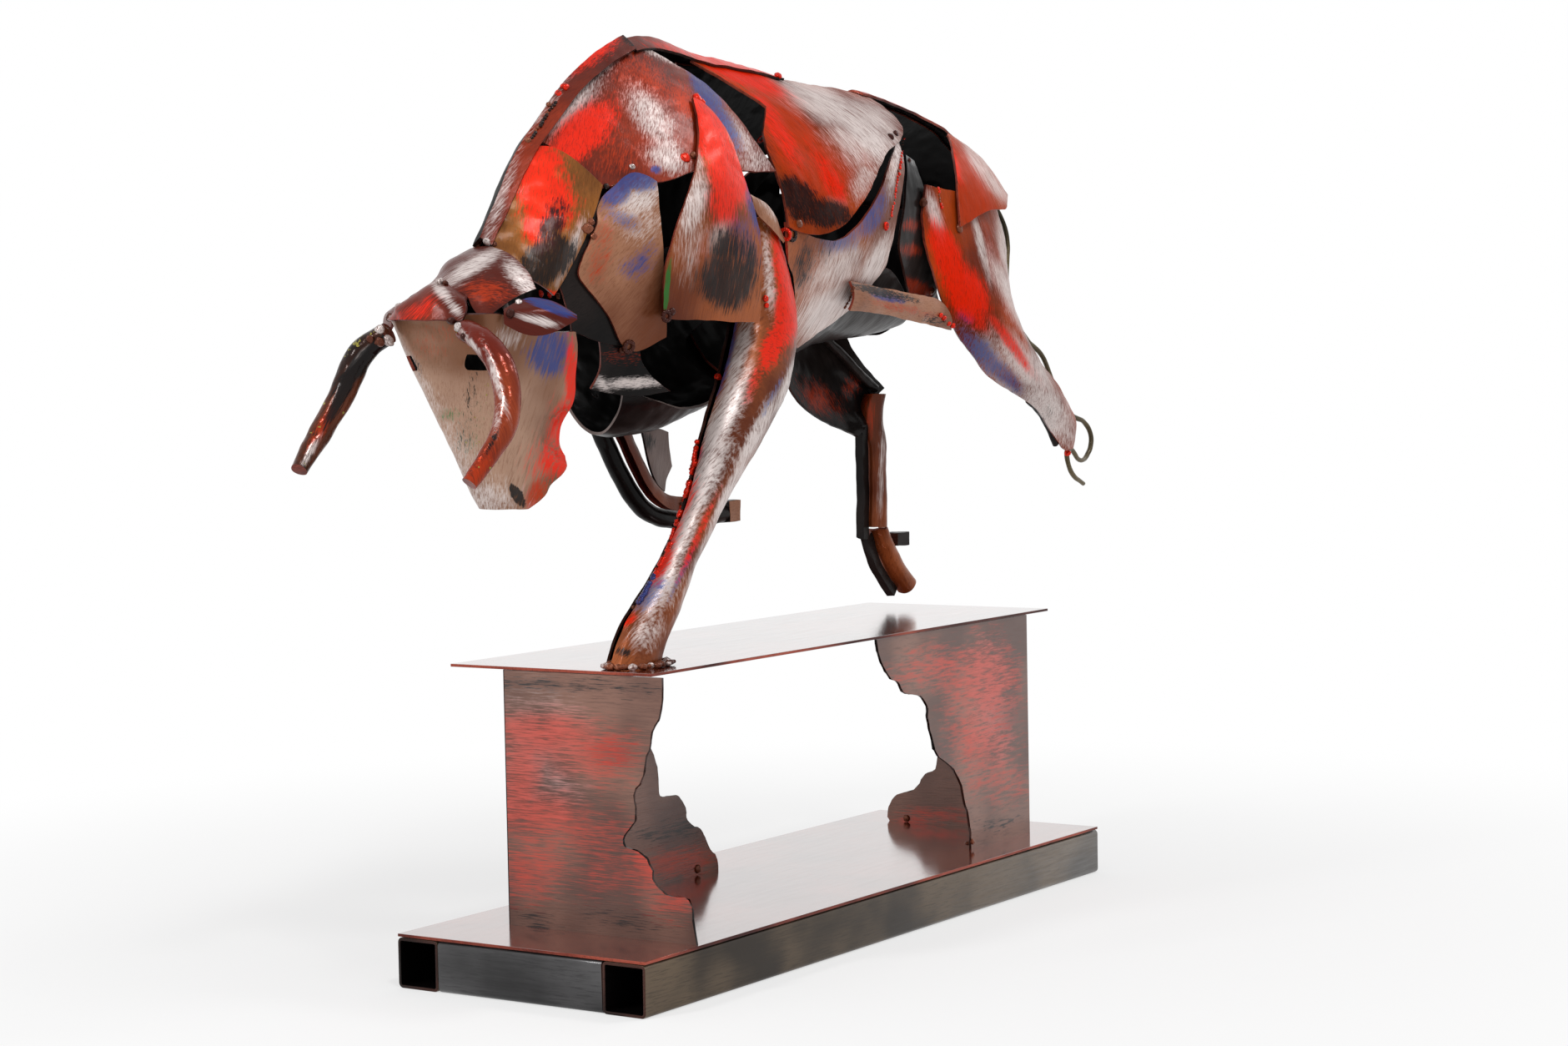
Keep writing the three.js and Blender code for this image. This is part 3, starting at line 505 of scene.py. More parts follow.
@dataclass(frozen=True)
class Lacquer:
    """A glossy brushed coat over steel.

    Attributes:
        name: of the material.
        dark: colour in the troughs of the brush marks.
        light: colour on their ridges.
        metallic: share of bare metal that shines through.
        gloss: roughness, smoothest and roughest.
        bristle: depth of the brush marks in millimetres.
        beaten: depth of the hammer's dents in millimetres.
        lumps: depth of cast or welded unevenness in millimetres.
        shine: weight of the clear gloss.
        streaks: share of brush marks in the coat's own unevenness.
        polish: refractive index of the clear gloss.
        flecks: share of gold-green flecks.
        painted: whether strokes of the tints lie over it.
    """

    name: str
    dark: Colour
    light: Colour
    metallic: float = 0.35
    gloss: tuple[float, float] = (0.28, 0.45)
    bristle: float = 0.1
    beaten: float = 0.25
    lumps: float = 0.0
    shine: float = 0.2
    streaks: float = 0.15
    polish: float = 1.5
    flecks: float = 0.0
    painted: bool = True

    # Limits between which a noise or a weight takes effect
    TONE = (0.36, 0.64)
    LAID = (0.01, 0.08)
    PATCH = (0.5, 0.62)
    TROUGH = (0.32, 0.52)
    ROUGH = (0.35, 0.65)
    # How far each noise moves a stroke's rim: streaks, hairs and dabs
    DRIFT = (1.1, 1.7, 0.7)
    # Weight of the dark colour in the finest troughs
    SCORE = 0.5
    # Flecks: their colour, the noise from which they show at a share of 0 and of 1, and their rim
    FLECK = srgb(150, 140, 60)
    FLECK_LIMITS = (0.75, 0.5)
    FLECK_RIM = 0.04
    # Depth in millimetres of the lacquer's own fine unevenness
    PEEL = 0.012
    # Reflection under the clear gloss, as a share of its weight, and the gloss's roughness
    UNDER = 0.4
    COAT_ROUGHNESS = 0.1

    def tinted(self, bench: Bench, colour: Socket, noises: tuple[Socket, ...]) -> Socket:
        """Lays the tints over a colour.

        Args:
            bench: builds the material.
            colour: under the tints.
            noises: streaks, hairs and dabs, which fray the strokes.

        Returns:
            The colour with the tints over it.
        """
        drift = None
        for source, share in zip(noises, self.DRIFT):
            part = bench.math("MULTIPLY_ADD", source, share, -0.5 * share)
            drift = part if drift is None else bench.math("ADD", drift, part)
        for tint in Tint:
            brush = tint.value
            laid = bench.node("Attribute", attribute_name=tint.attribute).outputs["Fac"]
            cover = bench.step(bench.math("ADD", laid, drift), brush.low, brush.high, (0, brush.cover))
            share = bench.math("MULTIPLY", cover, bench.step(laid, *self.LAID))
            colour = bench.mix(share, colour, brush.colour)
        return colour

    def material(self) -> bpy.types.Material:
        """Builds the coat's material, or finds the one that is there.

        Returns:
            The material.
        """
        if self.name in bpy.data.materials:
            return bpy.data.materials[self.name]
        bench = Bench(bpy.data.materials.new(self.name))
        place = bench.place()
        grain = bench.node("Attribute", attribute_name="grain").outputs["Vector"]
        streak = bench.noise(grain, Grain.STREAK)
        hair = bench.noise(grain, Grain.HAIR)
        dab = bench.noise(place, Grain.DAB)
        marks = bench.math("MULTIPLY", streak, self.streaks)
        tone = bench.math("MULTIPLY_ADD", bench.noise(place, Grain.WASH), 1 - self.streaks, marks)
        colour = bench.mix(bench.step(tone, *self.TONE), self.dark, self.light)
        if self.painted:
            colour = self.tinted(bench, colour, (streak, hair, dab))
        if self.flecks > 0:
            speck = bench.noise(place, Grain.SPECK)
            patch = bench.math("MULTIPLY", speck, bench.step(dab, *self.PATCH))
            first, last = self.FLECK_LIMITS
            limit = first + (last - first) * self.flecks
            colour = bench.mix(bench.step(patch, limit, limit + self.FLECK_RIM), colour, self.FLECK)
        colour = bench.mix(bench.step(hair, *self.TROUGH, (self.SCORE, 0)), colour, self.dark)
        heights = [(dab, self.beaten), (hair, self.bristle), (bench.noise(place, Grain.PEEL), self.PEEL)]
        if self.lumps > 0:
            heights.insert(1, (bench.noise(place, Grain.LUMP), self.lumps))
        normal = bench.bump(heights)
        inputs = {
            "Base Color": colour,
            "Metallic": self.metallic,
            "Roughness": bench.step(streak, *self.ROUGH, self.gloss),
            "Specular IOR Level": self.shine * self.UNDER,
            "Normal": normal,
            "Coat Weight": self.shine,
            "Coat Roughness": self.COAT_ROUGHNESS,
            "Coat IOR": self.polish,
            "Coat Normal": normal,
        }
        bench.finish(bench.node("BsdfPrincipled", inputs))
        return bench.owner


class Finish:
    """The coats of this bull."""

    COPPER = Lacquer("copper_brown_lacquer", srgb(88, 36, 14), srgb(158, 84, 42))
    TAN = Lacquer("tan_lacquer", srgb(104, 54, 30), srgb(164, 114, 86))
    AMBER = Lacquer("amber_lacquer", srgb(98, 32, 8), srgb(168, 64, 18), 0.15, shine=0.01)
    RUST = Lacquer("rust_red_lacquer", srgb(82, 22, 8), srgb(136, 44, 18))
    UMBER = Lacquer("umber_lacquer", srgb(84, 46, 14), srgb(140, 84, 30))
    GREY = Lacquer("blue_grey_lacquer", srgb(84, 66, 62), srgb(150, 134, 128))
    # A near-black coat of the sheets that show dark
    NEAR_BLACK = Lacquer("near_black_lacquer", srgb(10, 8, 8), srgb(38, 30, 28), 0.0, bristle=0.02, shine=0.12)
    # Painted shade: inner faces get a near-black coat for the dark of the hollow inside
    INNER = Lacquer(
        "inner_painted_shade_lacquer", srgb(4, 3, 3), srgb(12, 9, 9), 0.0, bristle=0.02, shine=0.04, painted=False
    )
    EDGE = Lacquer("cut_edge_lacquer", srgb(58, 14, 10), srgb(166, 78, 60), beaten=0.1, painted=False)
    DARK_EDGE = Lacquer("dark_edge_lacquer", srgb(12, 8, 8), srgb(74, 44, 36), beaten=0.1, painted=False)
    WELD = Lacquer("weld_lacquer", srgb(56, 20, 12), srgb(134, 76, 52), 0.3, (0.12, 0.3), lumps=0.5)
    HORN = Lacquer(
        "horn_lacquer", srgb(104, 26, 8), srgb(160, 66, 30), 0.3, (0.15, 0.3), 0.03, lumps=0.35, flecks=0.4
    )
    DARK_HORN = Lacquer(
        "dark_horn_lacquer", srgb(22, 10, 6), srgb(104, 50, 26), 0.3, (0.15, 0.3), 0.03,
        lumps=0.5, flecks=0.9,
    )
    FACE = Lacquer(
        "face_lacquer", srgb(124, 82, 58), srgb(176, 140, 118), bristle=0.02, flecks=0.35, streaks=0.05
    )
    TUBE = Lacquer(
        "base_tube_lacquer", srgb(46, 38, 30), srgb(100, 84, 66), beaten=0.04, bristle=0.03, shine=0.4
    )
    STEEL = Lacquer(
        "base_steel_lacquer", srgb(34, 33, 34), srgb(84, 83, 84), beaten=0.04, bristle=0.02, shine=0.4
    )
    DECK = Lacquer(
        "deck_lacquer", srgb(96, 32, 20), srgb(136, 62, 44), 0.4, (0.12, 0.2), 0.012, 0.04,
        shine=1.0, polish=2.1, painted=False,
    )
    PILLAR = Lacquer(
        "pillar_lacquer", srgb(84, 52, 42), srgb(138, 98, 82), beaten=0.05, bristle=0.06, shine=0.7
    )
    WIRE = Lacquer("wire_lacquer", srgb(44, 38, 26), srgb(110, 96, 70), 0.4, beaten=0.1, painted=False)


@dataclass(frozen=True)
class Sheet:
    """How one sheet of the bull is refined and painted.

    Attributes:
        coat: of its outer face.
        grain: direction of the brush marks on the photograph, degrees anticlockwise from level.
        strokes: tints over the coat.
        edge: coat of its cut edges.
        inner: coat of its inner face.
        crease: edges sharper than this many degrees stay sharp.
        inflate: millimetres added all round before subdivision, which shrinks a thin bar.
        levels: of subdivision.
        core: height in metres of the middle that the outer face looks away from.
    """

    coat: Lacquer
    grain: float = 0.0
    strokes: tuple[Stroke, ...] = ()
    edge: Lacquer = Finish.EDGE
    inner: Lacquer = Finish.INNER
    crease: float = 50.0
    inflate: float = 0.0
    levels: int = 3
    core: float = 0.36


# A stroke of each tint; the pale stroke lays a painted highlight
orange, highlight, blue, red, green, black, coral = (partial(Stroke, tint) for tint in Tint)

# Sheets of the trunk that stand on both sides, painted from the left one; their pale strokes are painted
# highlights
SIDE_SHEETS = {
    "hump_plate": Sheet(Finish.RUST, 68, (
        red(696, 162, 38, 20, 44, 1.2), red(664, 192, 26, 14, 60), red(676, 116, 10, 7, 30, 0.8),
        highlight(682, 118, 46, 18, 50, 0.75), highlight(715, 80, 20, 12, 30, 0.7),
        highlight(782, 142, 34, 14, -54, 0.75), highlight(800, 176, 22, 12, -50, 0.6),
        highlight(800, 190, 22, 12, -20, 0.7), highlight(800, 68, 44, 5, -24, 0.8),
        orange(764, 92, 46, 22, -28, 0.6), orange(744, 186, 40, 20, 20, 0.4),
        orange(820, 120, 22, 12, -60, 0.7), blue(848, 112, 30, 9, -54, 1.1),
        blue(868, 146, 34, 9, -58, 0.9), highlight(890, 168, 36, 9, -56, 0.6), highlight(905, 192, 18, 12, 0, 0.5),
        blue(786, 203, 5, 4),
    )),
    "neck_plate": Sheet(Finish.UMBER, 78, (
        red(646, 198, 30, 24, -80, 1.25), red(656, 238, 34, 26, -80, 1.2),
        red(646, 276, 24, 16, -72, 0.9), orange(626, 230, 44, 10, -80, 0.5),
        black(668, 250, 14, 12, 0, 0.6), black(660, 276, 22, 12, 60, 0.8),
        black(656, 312, 34, 22, 40, 1.1), highlight(684, 300, 30, 7, 66, 0.8), highlight(674, 322, 20, 6, 70, 0.6),
        highlight(630, 174, 14, 4, 20, 0.7), red(654, 353, 20, 5, -5),
    )),
    "mid_neck_plate": Sheet(Finish.TAN, 40, (
        blue(760, 212, 24, 14, -15, 1.2), blue(740, 228, 20, 14, 50, 1.1),
        highlight(766, 240, 28, 16, 35, 0.8), highlight(774, 270, 20, 14, 30, 0.45),
        blue(748, 262, 24, 10, -25, 0.55), blue(764, 318, 18, 12, 15, 0.65),
        blue(778, 300, 14, 8, 60, 0.45), orange(720, 300, 36, 12, 80, 0.5),
    )),
    "throat_plate": Sheet(Finish.NEAR_BLACK, 20),
    "shoulder_fin": Sheet(Finish.COPPER, 75, (
        red(850, 158, 44, 18, -66, 1.25), red(872, 204, 36, 20, -76, 1.2),
        red(868, 244, 26, 16, -85, 0.75), highlight(836, 190, 24, 6, -75, 0.6),
        highlight(832, 244, 36, 12, 74, 0.8), highlight(830, 300, 30, 14, 80, 0.35),
        highlight(890, 216, 24, 5, -75, 0.5), blue(903, 238, 46, 8, -78), blue(890, 290, 34, 16, -70, 0.6),
        black(876, 300, 26, 26, 40, 0.7), black(872, 336, 32, 32, 20, 0.95),
        black(898, 320, 34, 10, 88, 0.7), highlight(862, 282, 22, 9, 60, 0.6), highlight(852, 322, 18, 7, 70, 0.4),
        orange(846, 300, 24, 10, 70, 0.4), green(800, 344, 26, 3, 84, 1.1),
    )),
    "rib_plate": Sheet(Finish.AMBER, -32, (
        orange(944, 160, 60, 24, -56, 1.25), orange(976, 200, 44, 26, -40, 1.2),
        red(930, 150, 50, 10, -58, 0.7), red(996, 214, 36, 10, -60, 0.75), red(885, 88, 50, 10, -24),
        red(918, 132, 16, 6, -80, 0.6), black(952, 234, 26, 16, -30, 1.1),
        black(984, 256, 36, 15, -5, 0.95), highlight(985, 122, 60, 18, -34, 0.85),
        highlight(1040, 160, 44, 30, -42, 0.9), highlight(1036, 216, 26, 12, 66, 0.6),
        highlight(1000, 250, 20, 10, 30, 0.35),
    )),
    "flank_plate": Sheet(Finish.COPPER, 60, (
        highlight(992, 372, 40, 24, 40), highlight(1000, 330, 44, 26, 50, 0.7), highlight(1050, 318, 32, 13, 62),
        blue(1045, 256, 30, 13, 62, 0.8), blue(1010, 286, 28, 14, 20, 0.6),
        black(964, 316, 30, 14, 80, 0.5), black(985, 300, 26, 12, 70, 0.35),
        highlight(1072, 200, 34, 5, 80, 0.6),
    )),
    "hip_strip": Sheet(Finish.NEAR_BLACK, 80, (
        orange(1098, 345, 20, 8, -20, 0.9), orange(1092, 300, 14, 7, 0, 0.55),
        orange(1090, 270, 10, 6, 0, 0.5),
    ), Finish.DARK_EDGE),
    "rump_plate": Sheet(Finish.AMBER, -62, (
        orange(1156, 222, 44, 22, -72, 1.4), orange(1176, 240, 26, 14, -60, 0.9),
        red(1142, 196, 26, 6, -72, 0.8), highlight(1182, 206, 42, 8, -54, 0.8),
    )),
}

# Single sheets and bars of the bull; their pale strokes are painted highlights
SHEETS = {
    "crest_strip": Sheet(Finish.RUST, 55, (
        red(700, 66, 60, 12, 32, 0.85), highlight(660, 110, 60, 8, 55, 0.5), black(790, 58, 46, 9, -20, 1.2),
        highlight(600, 240, 50, 6, 70, 0.45),
    ), Finish.DARK_EDGE),
    "dorsal_strip": Sheet(Finish.RUST, -15, (
        red(880, 72, 70, 14, -14), red(932, 90, 12, 8),
    ), Finish.DARK_EDGE),
    "loin_strip": Sheet(Finish.RUST, -25, (
        red(1100, 135, 60, 14, -25, 0.9), highlight(1090, 128, 30, 6, -20, 0.5),
    )),
    "brisket_plate": Sheet(Finish.NEAR_BLACK, -10, (
        orange(752, 426, 24, 10, 0, 0.25), highlight(758, 459, 34, 5, 2, 1.1), highlight(722, 460, 10, 6, -40, 0.9),
    )),
    # The chest band's cut edges take the pale grey coat as a painted highlight along its rim, and its pale
    # stroke is a painted highlight
    "chest_band": Sheet(Finish.NEAR_BLACK, 20, (highlight(820, 468, 24, 6, 10),), Finish.GREY),
    "belly_band": Sheet(Finish.NEAR_BLACK, 30),
    "head_shell": Sheet(Finish.FACE, 72, (
        blue(660, 422, 24, 20, 70, 1.2), blue(650, 412, 20, 9, 80, 0.7), red(688, 462, 44, 8, -86, 1.1),
        red(678, 512, 34, 16, 80, 0.9), red(668, 548, 22, 22, 0, 0.9), red(650, 552, 20, 26, 0, 0.4),
        highlight(610, 404, 14, 10, 0, 0.5), highlight(498, 450, 60, 8, -58, 0.5), highlight(584, 598, 34, 18, 0, 0.6),
        highlight(540, 560, 70, 26, -62, 0.55), green(560, 520, 30, 18, 70, 0.22),
        black(556, 520, 34, 12, 70, 0.25), orange(520, 410, 34, 16, 10, 0.25),
        # The strong black stroke at the muzzle's foot is the nostril's slit, painted shade
        black(620, 594, 12, 5, -58, 1.6), orange(642, 592, 18, 10, 60, 0.9),
        green(538, 498, 16, 7, 10, 0.4), black(566, 470, 26, 7, 80, 0.35),
        black(500, 440, 16, 5, -60, 0.4),
    )),
    "brow_band": Sheet(Finish.RUST, 35, (
        highlight(530, 350, 14, 6, -46), highlight(544, 368, 12, 5, -50, 0.8), red(500, 370, 26, 10, 30, 0.5),
    ), core=0.3),
    "poll_cap": Sheet(Finish.RUST, 35, (
        highlight(568, 318, 36, 8, 32), highlight(546, 334, 20, 5, 34, 0.8), highlight(624, 334, 24, 9, -52, 0.95),
        orange(590, 350, 24, 12, -10, 0.6),
    ), Finish.DARK_EDGE, core=0.3),
    "ear_left": Sheet(Finish.RUST, -20, (
        blue(656, 366, 30, 5, -22, 1.2), highlight(644, 384, 20, 4, -14),
    ), inner=Finish.RUST),
    "ear_right": Sheet(Finish.RUST, -20, inner=Finish.RUST),
    "horn_left": Sheet(Finish.HORN, -75, (
        highlight(596, 458, 36, 4, -72, 0.8), highlight(562, 408, 18, 3, -50, 0.8), highlight(598, 500, 20, 4, 78, 0.6),
        orange(575, 560, 30, 9, 55, 0.6), black(590, 530, 20, 3, 65, 0.7),
    ), inflate=0.15),
    "horn_right": Sheet(Finish.DARK_HORN, 55, (
        black(440, 430, 50, 9, 44), black(412, 470, 40, 6, 60), orange(386, 512, 30, 5, 62, 0.7),
        highlight(372, 542, 16, 3, 60), highlight(430, 428, 16, 2, 50, 0.7), black(358, 568, 8, 8, 0, 1.2),
    ), inflate=0.15),
    "foreleg_left": Sheet(Finish.COPPER, 64, (
        red(944, 318, 46, 13, -84, 1.3), red(946, 372, 34, 14, 80, 1.2), red(928, 412, 30, 10, 66),
        red(906, 452, 26, 6, 66, 0.5), red(826, 560, 34, 8, 74, 1.1), red(818, 596, 30, 12, 68, 0.85),
        red(806, 636, 30, 9, 68, 0.8), red(794, 672, 26, 8, 62, 0.9), red(838, 640, 50, 4, 66, 0.6),
        red(752, 744, 12, 6, 30, 0.8), blue(872, 408, 34, 8, 82, 1.2), blue(862, 454, 26, 7, 70),
        blue(832, 544, 8, 6), blue(780, 712, 24, 12, 55, 0.7), blue(926, 476, 36, 4, 62, 0.5),
        blue(818, 686, 40, 3, 64, 0.6), highlight(886, 426, 44, 9, 74, 0.9), highlight(868, 500, 50, 13, 66),
        highlight(842, 578, 50, 15, 64, 1.05), highlight(814, 642, 40, 13, 64, 1.05),
        highlight(792, 704, 34, 15, 62, 0.9), highlight(774, 756, 20, 14, 60, 0.6), highlight(922, 330, 40, 6, -84, 0.7),
        highlight(950, 452, 44, 7, 64), highlight(908, 518, 44, 7, 62, 1.1), highlight(874, 592, 44, 6, 64, 1.1),
        highlight(842, 670, 50, 6, 68), highlight(816, 740, 34, 5, 72, 0.8), black(748, 782, 8, 6, 0, 0.7),
    ), Finish.DARK_EDGE),
    "shoulder_collar_left": Sheet(Finish.TAN, -50, (highlight(920, 244, 20, 6, -50, 0.6),)),
    "thigh_left": Sheet(Finish.AMBER, -58, (
        red(1136, 306, 34, 14, -66, 1.15), red(1158, 350, 34, 18, -62, 1.15),
        red(1172, 384, 14, 10, -60, 0.7), red(1212, 412, 40, 6, -54, 0.8),
        blue(1176, 422, 34, 13, -50, 0.75), blue(1200, 446, 34, 10, -44, 0.7),
        blue(1160, 380, 12, 7, -40, 0.7), highlight(1190, 432, 36, 18, -48, 0.6), highlight(1256, 496, 40, 22, -56),
        highlight(1230, 440, 44, 16, -50, 0.9), highlight(1210, 470, 34, 8, -48, 0.7),
        blue(1196, 450, 40, 16, -46, 0.35), black(1240, 480, 44, 16, -54, 0.2),
        highlight(1122, 260, 26, 6, -74, 0.8), highlight(1176, 292, 40, 4, -76, 0.8),
        highlight(1206, 296, 44, 8, -82, 0.9), highlight(1220, 366, 54, 10, -62), highlight(1248, 456, 36, 8, -52, 0.7),
        orange(1190, 312, 40, 8, -78, 0.4),
    )),
    "stifle_strut_left": Sheet(Finish.TAN, -14, (
        blue(1066, 356, 20, 5, -12), black(1056, 350, 40, 5, -14, 0.8),
        orange(1090, 372, 40, 5, -14, 0.5), black(1120, 384, 22, 6, -14, 0.5),
    )),
    "hock_rod_left": Sheet(Finish.NEAR_BLACK, inflate=0.3, crease=60),
    "foreleg_right_tube": Sheet(Finish.NEAR_BLACK, -60, inflate=0.5),
    "foreleg_right_channel": Sheet(Finish.COPPER, -60, crease=60, inner=Finish.COPPER),
    "hoof_right_fore": Sheet(Finish.TAN, edge=Finish.NEAR_BLACK, inner=Finish.TAN),
    "elbow_plate_right": Sheet(Finish.GREY, 70, (
        black(775, 530, 12, 10, 0, 0.6),
    ), Finish.DARK_EDGE, Finish.GREY),
    "haunch_plate_right": Sheet(Finish.AMBER, -60, (
        red(1110, 250, 40, 16, -66), highlight(1140, 300, 50, 16, -66, 0.9),
        black(1090, 340, 40, 16, -60, 0.6),
    )),
    "thigh_right": Sheet(Finish.NEAR_BLACK, -40, (
        orange(982, 478, 26, 12, -40, 0.6), orange(1022, 462, 8, 14, -30, 0.3),
    ), Finish.DARK_EDGE, Finish.NEAR_BLACK),
    "thigh_rod_right": Sheet(Finish.NEAR_BLACK, inflate=0.2, crease=55),
    "shank_tube_right": Sheet(Finish.COPPER, 88, (
        highlight(1057, 560, 60, 3, 88, 0.6), orange(1040, 500, 26, 8, 88, 0.45),
    ), crease=60, inner=Finish.COPPER),
    "pastern_right": Sheet(Finish.COPPER, -50, crease=60, inner=Finish.COPPER),
    "shank_angle_right": Sheet(Finish.NEAR_BLACK, 88, inner=Finish.NEAR_BLACK),
    "pastern_angle_right": Sheet(Finish.NEAR_BLACK, -50, inner=Finish.NEAR_BLACK),
    "dewclaw_right": Sheet(Finish.NEAR_BLACK, edge=Finish.DARK_EDGE),
    "tail_wire": Sheet(Finish.WIRE, edge=Finish.WIRE, crease=80, inflate=0.35, levels=2),
}


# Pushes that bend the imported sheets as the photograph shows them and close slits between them
NUDGES = {
    "brow_band": (
        Nudge(524, 350, 24, 0, 7), Nudge(558, 366, 18, 10, 0), Nudge(545, 380, 18, 10, 0),
        Nudge(455, 384, 18, 11, 0),
    ),
    "poll_cap": (
        Nudge(536, 344, 22, -3, -5), Nudge(568, 370, 16, -5, -4), Nudge(505, 330, 24, 9, -3),
    ),
    "horn_right": (Nudge(367, 556, 40, -6, -6), Nudge(405, 460, 40, 7, 0)),
    "front_pillar_face": (Nudge(794, 1056, 12, -12, 0), Nudge(822, 1084, 13, 10, 4)),
    "throat_plate_right": (Nudge(572, 368, 28, -28, 4),),
    "mid_neck_plate_left": (Nudge(722, 240, 22, -12, 0),),
    "rib_plate_right": (Nudge(732, 232, 26, -20, -2), Nudge(802, 274, 30, 0, -26)),
    "rump_plate_right": (Nudge(1080, 240, 16, 0, -12),),
    "hip_strip_right": (Nudge(914, 226, 26, -14, 0),),
    "haunch_plate_right": (Nudge(1102, 402, 32, -4, 24),),
    "thigh_right": (Nudge(1031, 508, 14, 7, 0),),
    "shank_tube_right": (Nudge(1040, 500, 26, -10, 0),),
    "shank_angle_right": (Nudge(1037, 632, 18, 1, -14), Nudge(1036, 522, 14, 0, 10)),
    "pastern_right": (Nudge(1051, 644, 14, -3, 11),),
    "pastern_angle_right": (Nudge(1040, 652, 16, 1, 10),),
    "foreleg_left": (Nudge(770, 800, 60, -11, 0),),
    "head_shell": (
        Nudge(574, 434, 16, -9, 0, True), Nudge(692, 420, 22, 4, 0), Nudge(684, 520, 30, -9, 0),
        Nudge(668, 566, 16, 8, 0), Nudge(655, 600, 16, 9, -1), Nudge(640, 612, 12, 6, 0),
    ),
}


class Kit:
    """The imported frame, and what makes a mesh a piece of the object.

    Attributes:
        frame: as loaded.
        bounds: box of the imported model.
        slots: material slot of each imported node.
    """

    MERGE = 0.01 * MM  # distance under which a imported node's loose corners are one point

    def __init__(self) -> None:
        """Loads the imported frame."""
        self.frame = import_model()
        self.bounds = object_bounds()
        self.slots = {row["node"]: row["material_slot"] for row in self.frame["record"]["subparts"]}

    def copy(self, node: str) -> BMesh:
        """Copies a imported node's mesh and merges its doubles.

        Args:
            node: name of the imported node.

        Returns:
            The copy.
        """
        bm = bmesh.new()
        bm.from_mesh(self.frame["nodes"][node].data)
        bmesh.ops.remove_doubles(bm, verts=bm.verts, dist=self.MERGE)
        return bm

    def adopt(self, piece: Piece, slot: str, *nodes: str) -> None:
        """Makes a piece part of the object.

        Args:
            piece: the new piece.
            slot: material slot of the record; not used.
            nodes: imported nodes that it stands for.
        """
        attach(piece, "root")
        if nodes:
            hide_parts(*nodes)
        LOG.info("%s: %d faces", piece.name, len(piece.data.polygons))


def link_mesh(name: str, bm: BMesh, *coats: Lacquer) -> Piece:
    """Makes an object of a bmesh and frees the bmesh.

    Args:
        name: of the object and its mesh.
        bm: the bmesh.
        coats: its coats, in the order of its faces' material numbers.

    Returns:
        The object.
    """
    mesh = bpy.data.meshes.new(name)
    bm.to_mesh(mesh)
    bm.free()
    piece = bpy.data.objects.new(name, mesh)
    bpy.context.scene.collection.objects.link(piece)
    for coat in coats:
        mesh.materials.append(coat.material())
    return piece


def settle(piece: Piece) -> None:
    """Applies a piece's modifiers to its mesh.

    Args:
        piece: the piece.
    """
    depsgraph = bpy.context.evaluated_depsgraph_get()
    mesh = bpy.data.meshes.new_from_object(piece.evaluated_get(depsgraph))
    piece.modifiers.clear()
    old = piece.data
    piece.data = mesh
    bpy.data.meshes.remove(old)
    mesh.name = piece.name


def coordinates(mesh: bpy.types.Mesh) -> np.ndarray:
    """The mesh's points as an N by 3 array.

    Args:
        mesh: the mesh.

    Returns:
        The points.
    """
    flat = np.zeros(len(mesh.vertices) * 3, np.float32)
    mesh.vertices.foreach_get("co", flat)
    return flat.reshape(-1, 3).astype(float)


def note(mesh: bpy.types.Mesh, name: str, values: np.ndarray) -> None:
    """Stores values at a mesh's points for the materials to read.

    Args:
        mesh: the mesh.
        name: of the attribute.
        values: N numbers, or N by 3 for vectors.
    """
    kind, key = ("FLOAT", "value") if values.ndim == 1 else ("FLOAT_VECTOR", "vector")
    attribute = mesh.attributes.new(name, kind, "POINT")
    attribute.data.foreach_set(key, values.astype(np.float32).ravel())


